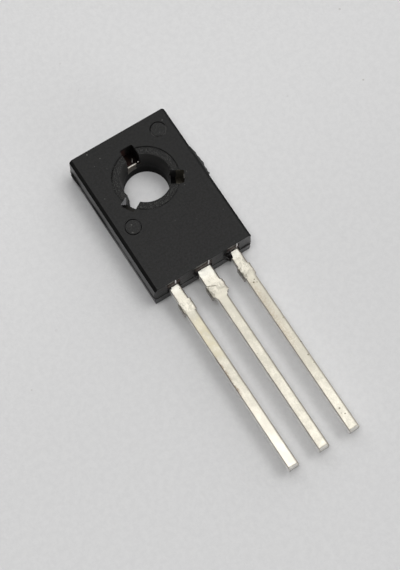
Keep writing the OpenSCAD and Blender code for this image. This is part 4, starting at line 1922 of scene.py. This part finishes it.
@dataclass
class PlateBurrs:
    """Bright scraped metal on the plate where it shows in the notches of the hole."""

    level: float = 1.45
    bright: tuple = (Burr("tab_burr", (-0.52, 1.655), (0.79, 0.0), 0.050, 0.045, (0, 1, 0), 5),
                     Burr("tab_burr_spot", (0.34, 1.685), (0.11, 0.0), 0.040, 0.026, (0, 1, 0), 7),
                     Burr("tab_scrape", (-0.51, 1.655), (0.17, 0.33), 0.050, 0.050, (0.89, -0.46, 0), 9))
    streak: Burr = Burr("tab_streak", (0.03, 1.83), (0.17, 0.285), 0.016, 0.010, (0.86, -0.51, 0), 13)
    notch_angle: float = -30.0
    scratch_away: float = 2.535
    scratch_across: tuple = (0.10, 0.46)
    scratch_level: float = 2.0
    stations: int = 60

    def build(self, finish: Material, dull: Material) -> None:
        """Adds the burr along the tab's edge, the scrapes beside it and the scratch in the right notch.

        Formula: a straight ridge runs from its start along its reach; the scratch runs across the
        right notch, which is turned by the notch angle, at one distance from the hole's axis.

        Args:
            finish: the bright metal's finish.
            dull: the finish of the faint scratches.
        """
        part = np.linspace(0, 1, self.stations)
        for burr, metal in [(bright, finish) for bright in self.bright] + [(self.streak, dull)]:
            path = triples(burr.start[0] + burr.reach[0] * part, burr.start[1] + burr.reach[1] * part, self.level)
            self._ridge(burr.name, path, burr.half_width, burr.half_height, burr.across, burr.seed, metal)
        turn = math.radians(self.notch_angle)
        away, across = self.scratch_away, np.linspace(*self.scratch_across, self.stations)
        x = away * math.cos(turn) - across * math.sin(turn)
        y = away * math.sin(turn) + across * math.cos(turn)
        self._ridge("notch_scratch", triples(x, y, self.scratch_level), 0.022, 0.045,
                    (math.cos(turn), math.sin(turn), 0), 15, dull)

    @staticmethod
    def _ridge(name: str, path: np.ndarray, half_width: float, half_height: float, across: tuple,
               seed: int, finish: Material) -> Piece:
        """Adds one ridge that tapers to both ends.

        Formula: the half sizes are multiplied by 1 - |2t - 1|^6, where t runs from 0 to 1 along
        the ridge, and the width also by one plus layered noise.

        Args:
            name: the object's name.
            path: middle of the ridge, shape (n, 3).
            half_width: half width in its middle.
            half_height: half height in its middle.
            across: direction of the width.
            seed: picks the noise.
            finish: the material.

        Returns:
            The object.
        """
        part = np.linspace(0, 1, len(path))
        taper = np.clip(1 - np.abs(2 * part - 1) ** 6, 0.02, 1)
        uneven = taper * (1 + 0.35 * layered_noise(path, 0.12, seed))
        return build_strand(name, path, half_width * uneven, half_height * taper, across, (0, 0, 1), seed, finish)


@dataclass
class NotchChip:
    """Slanting broken corner of the moulding beside the lower left notch of the screw hole, coloured pale grey as
    painted light on its slant.
    """

    outer: tuple = ((-1.885, -0.490, 2.616), (-2.410, -0.785, 2.616))
    inner: tuple = ((-1.865, -0.555, 2.600), (-2.080, -0.920, 2.490))
    thickness: float = 0.03
    outward: tuple = (-0.5, 0.87)
    raggedness: float = 0.015
    roughness: float = 0.003

    def make(self, finish: Material) -> Piece:
        """Builds the broken corner as a thin leaning slab.

        Formula: each point is blended between the four corners; layered noise moves it up by the
        roughness at most, and the outer edge outwards by the raggedness at most.

        Args:
            finish: the pale grey finish, which is painted light.

        Returns:
            The object.
        """
        along, across = np.meshgrid(np.linspace(0, 1, 48), np.linspace(0, 1, 36), indexing="ij")
        outer, inner = np.array(self.outer), np.array(self.inner)
        edge = [ends[0] + (ends[1] - ends[0]) * along[..., None] for ends in (outer, inner)]
        top = edge[0] + (edge[1] - edge[0]) * across[..., None]
        ragged = layered_noise(triples(along * 0.7, 0.0, 0.0), 0.12, 141)
        top[..., :2] += (np.array(self.outward) * self.raggedness) * (ragged * (1 - across))[..., None]
        top[..., 2] += layered_noise(top, 0.08, 143) * self.roughness
        under = top - np.array([0.0, 0.0, self.thickness])
        return build_slab("notch_chip", top, under, finish)


@dataclass
class Moulding:
    """The moulded body with its broken gate, rough ring, flash, the resin at the roots and painted glints above
    them.
    """

    pitch: float = 2.29
    lead_half: float = 0.36
    shoulder_half: float = 0.53

    def build(self, effects: SharedEffects, resin: Material) -> None:
        """Dresses the body and adds its broken and rough places, the painted light on the notch corner and the
        painted glints.

        Args:
            effects: the shared node groups.
            resin: the moulding finish.
        """
        dress("body", resin)
        GateBreak().make(BrokenResinFinish().make(effects))
        RingTexture().make(resin)
        # Painted light: the notch corner's pale grey stands in for the light on its slanting face.
        NotchChip().make(CloudyFinish("notch corner painted light", (0.105, 0.105, 0.109, 1.0),
                                      (0.070, 0.070, 0.073, 1.0), roughness=0.50, relief=0.006).make(effects))
        glassy = BrokenResinFinish("glassy resin scrap", BreakKind.GLASSY).make(effects)
        PartingFin().make(glassy)
        film = FilmFinish().make(effects)
        for piece in (RootFilm("root_film_left", -self.pitch, self.lead_half, 31),
                      RootFilm("root_film_middle", 0.0, self.shoulder_half, 37),
                      RootFilm("root_film_right", self.pitch, self.lead_half, 43)):
            piece.make(film)
        for piece in (RootScrap("root_scrap_left", -2.78, -2.52, 0.16, 1.25, 2.15, 1.7, 51),
                      RootScrap("root_scrap_middle", -0.92, -0.49, 0.30, 1.13, 2.10, 1.75, 57),
                      RootScrap("root_scrap_right", 1.44, 2.02, 0.44, 1.14, 2.25, 1.80, 63)):
            piece.make(glassy)
        # Painted glints: near-white upright strands on the end wall above the leads stand in for highlights.
        glint = CloudyFinish("painted glint", (0.97, 0.95, 0.94, 1.0), (0.80, 0.77, 0.75, 1.0)).make(effects)
        for piece in (RootGlint("glint_left", -self.pitch + 0.15, 2.0, 2.56, 3),
                      RootGlint("glint_middle", 0.385, 2.0, 2.6, 4),
                      RootGlint("glint_right", self.pitch + 0.25, 2.05, 2.58, 5)):
            piece.make(glint)


@dataclass
class ChipAndBonds:
    """The chip, its solder and the two bond wires inside the moulding."""

    def build(self, effects: SharedEffects) -> None:
        """Dresses the inner solids.

        Args:
            effects: the shared node groups.
        """
        dress("silicon_die", CloudyFinish("polished silicon", (0.16, 0.17, 0.20, 1.0), (0.12, 0.13, 0.16, 1.0),
                                          metallic=0.6, roughness=0.12, relief=0.001).make(effects))
        dress("die_solder", CloudyFinish("soft solder", (0.50, 0.50, 0.51, 1.0), (0.40, 0.40, 0.42, 1.0),
                                         metallic=1.0, roughness=0.32, grain_size=0.07,
                                         relief=0.006).make(effects))
        wire = CloudyFinish("drawn wire", (0.86, 0.86, 0.87, 1.0), (0.78, 0.78, 0.80, 1.0),
                            metallic=1.0, roughness=0.22, grain_size=0.04, relief=0.002).make(effects)
        for node in ("emitter_wire", "base_wire"):
            dress(node, wire)


# Studio


@dataclass(frozen=True)
class Panel:
    """Far soft panel of the studio, which glows most in its middle; angles are in degrees."""

    azimuth: float
    from_zenith: float
    half_angle: float
    strength: float

    def direction(self) -> tuple[float, float, float]:
        """Direction towards the panel's middle."""
        azimuth, lean = math.radians(self.azimuth), math.radians(self.from_zenith)
        return (math.sin(lean) * math.cos(azimuth), math.sin(lean) * math.sin(azimuth), math.cos(lean))


@dataclass
class Studio:
    """Card, soft light and camera."""

    panels: tuple = (Panel(343, 21, 18, 5.6), Panel(57, 20, 18, 2.0), Panel(104, 35, 20, 1.9),
                     Panel(18, 58, 58, 0.76), Panel(289, 78, 25, 3.0))
    camera_place: tuple = (-20.774, -39.305, 107.194)
    camera_target: tuple = (-0.503, -7.481, 0.0)
    camera_roll: float = 0.143
    focal: float = 108.63
    sensor: float = 36.0
    clip: tuple = (0.005, 10.0)
    fill: float = 0.02
    light_colour: tuple = (1.0, 0.998, 0.993, 1.0)
    lamp_towards: tuple = (-0.199, -0.061, 0.978)
    lamp_distance: float = 260.0
    lamp_width: float = 92.0
    lamp_share: float = 0.31
    card_half: float = 700.0
    card_level: float = -0.012

    def build(self, effects: SharedEffects) -> None:
        """Makes the card, the lights and the camera, and sets plain colour.

        Args:
            effects: the shared node groups.
        """
        self._card(effects)
        self._sky()
        self._lamp()
        self._camera()
        bpy.context.scene.view_settings.view_transform = "Standard"

    def _card(self, effects: SharedEffects) -> None:
        """Lays the card just under the back face, as a stage.

        Args:
            effects: the shared node groups.
        """
        half, low = self.card_half, self.card_level
        ring = np.array([[-half, -half, low], [half, -half, low], [half, half, low], [-half, half, low]])
        mesh = bpy.data.meshes.new("card")
        mesh.from_pydata((ring * MM).tolist(), [], [[0, 1, 2, 3]])
        mesh.materials.append(CardFinish().make(effects))
        card = bpy.data.objects.new("card", mesh)
        bpy.context.scene.collection.objects.link(card)

    def _sky(self) -> None:
        """Lights the room: dim all round, with the soft glow of each panel added to it.

        Formula: a panel's glow rises as 3t^2 - 2t^3 of the cosine of the angle to its middle, from
        none at its half angle to its full strength in its middle.
        """
        world = bpy.data.worlds.new("studio")
        bpy.context.scene.world = world
        world.use_nodes = True
        world.node_tree.nodes.clear()
        graph = Graph(world.node_tree)
        ray = graph.add("ShaderNodeTexCoord").outputs["Generated"]
        level: Value = self.fill
        for panel in self.panels:
            towards = panel.direction()
            match = graph.add("ShaderNodeVectorMath", {0: ray, 1: towards}, operation="DOT_PRODUCT")
            edge = math.cos(math.radians(panel.half_angle))
            glow = graph.spread(match.outputs["Value"], edge, 1.0, 0.0, panel.strength)
            level = graph.plus(level, glow)
        background = graph.add("ShaderNodeBackground", {"Color": self.light_colour, "Strength": level})
        graph.add("ShaderNodeOutputWorld", {"Surface": background.outputs[0]})

    def _lamp(self) -> None:
        """Hangs one round softbox high above the part.

        Formula: the power that lights the card with pi times the lamp's share is share times pi
        squared times distance squared, divided by the cosine of the lamp's lean.
        """
        towards = Vector(self.lamp_towards).normalized()
        light = bpy.data.lights.new("softbox", "AREA")
        light.shape = "DISK"
        light.size = self.lamp_width * MM
        distance = self.lamp_distance * MM
        light.energy = self.lamp_share * math.pi ** 2 * distance ** 2 / towards.z
        lamp = bpy.data.objects.new("softbox", light)
        bpy.context.scene.collection.objects.link(lamp)
        lamp.location = Vector(self.camera_target) * MM + towards * distance
        lamp.rotation_mode = "QUATERNION"
        lamp.rotation_quaternion = towards.to_track_quat("Z", "Y")

    def _camera(self) -> None:
        """Sets the camera at the viewing angle."""
        lens = bpy.data.cameras.new("camera")
        lens.lens, lens.sensor_width = self.focal, self.sensor
        lens.clip_start, lens.clip_end = self.clip
        camera = bpy.data.objects.new("camera", lens)
        bpy.context.scene.collection.objects.link(camera)
        place, target = Vector(self.camera_place) * MM, Vector(self.camera_target) * MM
        camera.location = place
        turn = (target - place).to_track_quat("-Z", "Y").to_matrix()
        roll = Matrix.Rotation(math.radians(self.camera_roll), 3, "Z")
        camera.rotation_mode = "QUATERNION"
        camera.rotation_quaternion = (turn @ roll).to_quaternion()
        bpy.context.scene.camera = camera


def main() -> None:
    """Builds everything in order."""
    logging.basicConfig(level=logging.INFO, format="%(name)s: %(message)s")
    effects = SharedEffects()
    Studio().build(effects)
    Moulding().build(effects, MouldingFinish().make(effects))
    Leadframe().build(effects)
    ChipAndBonds().build(effects)


if __name__ == "__main__":
    main()
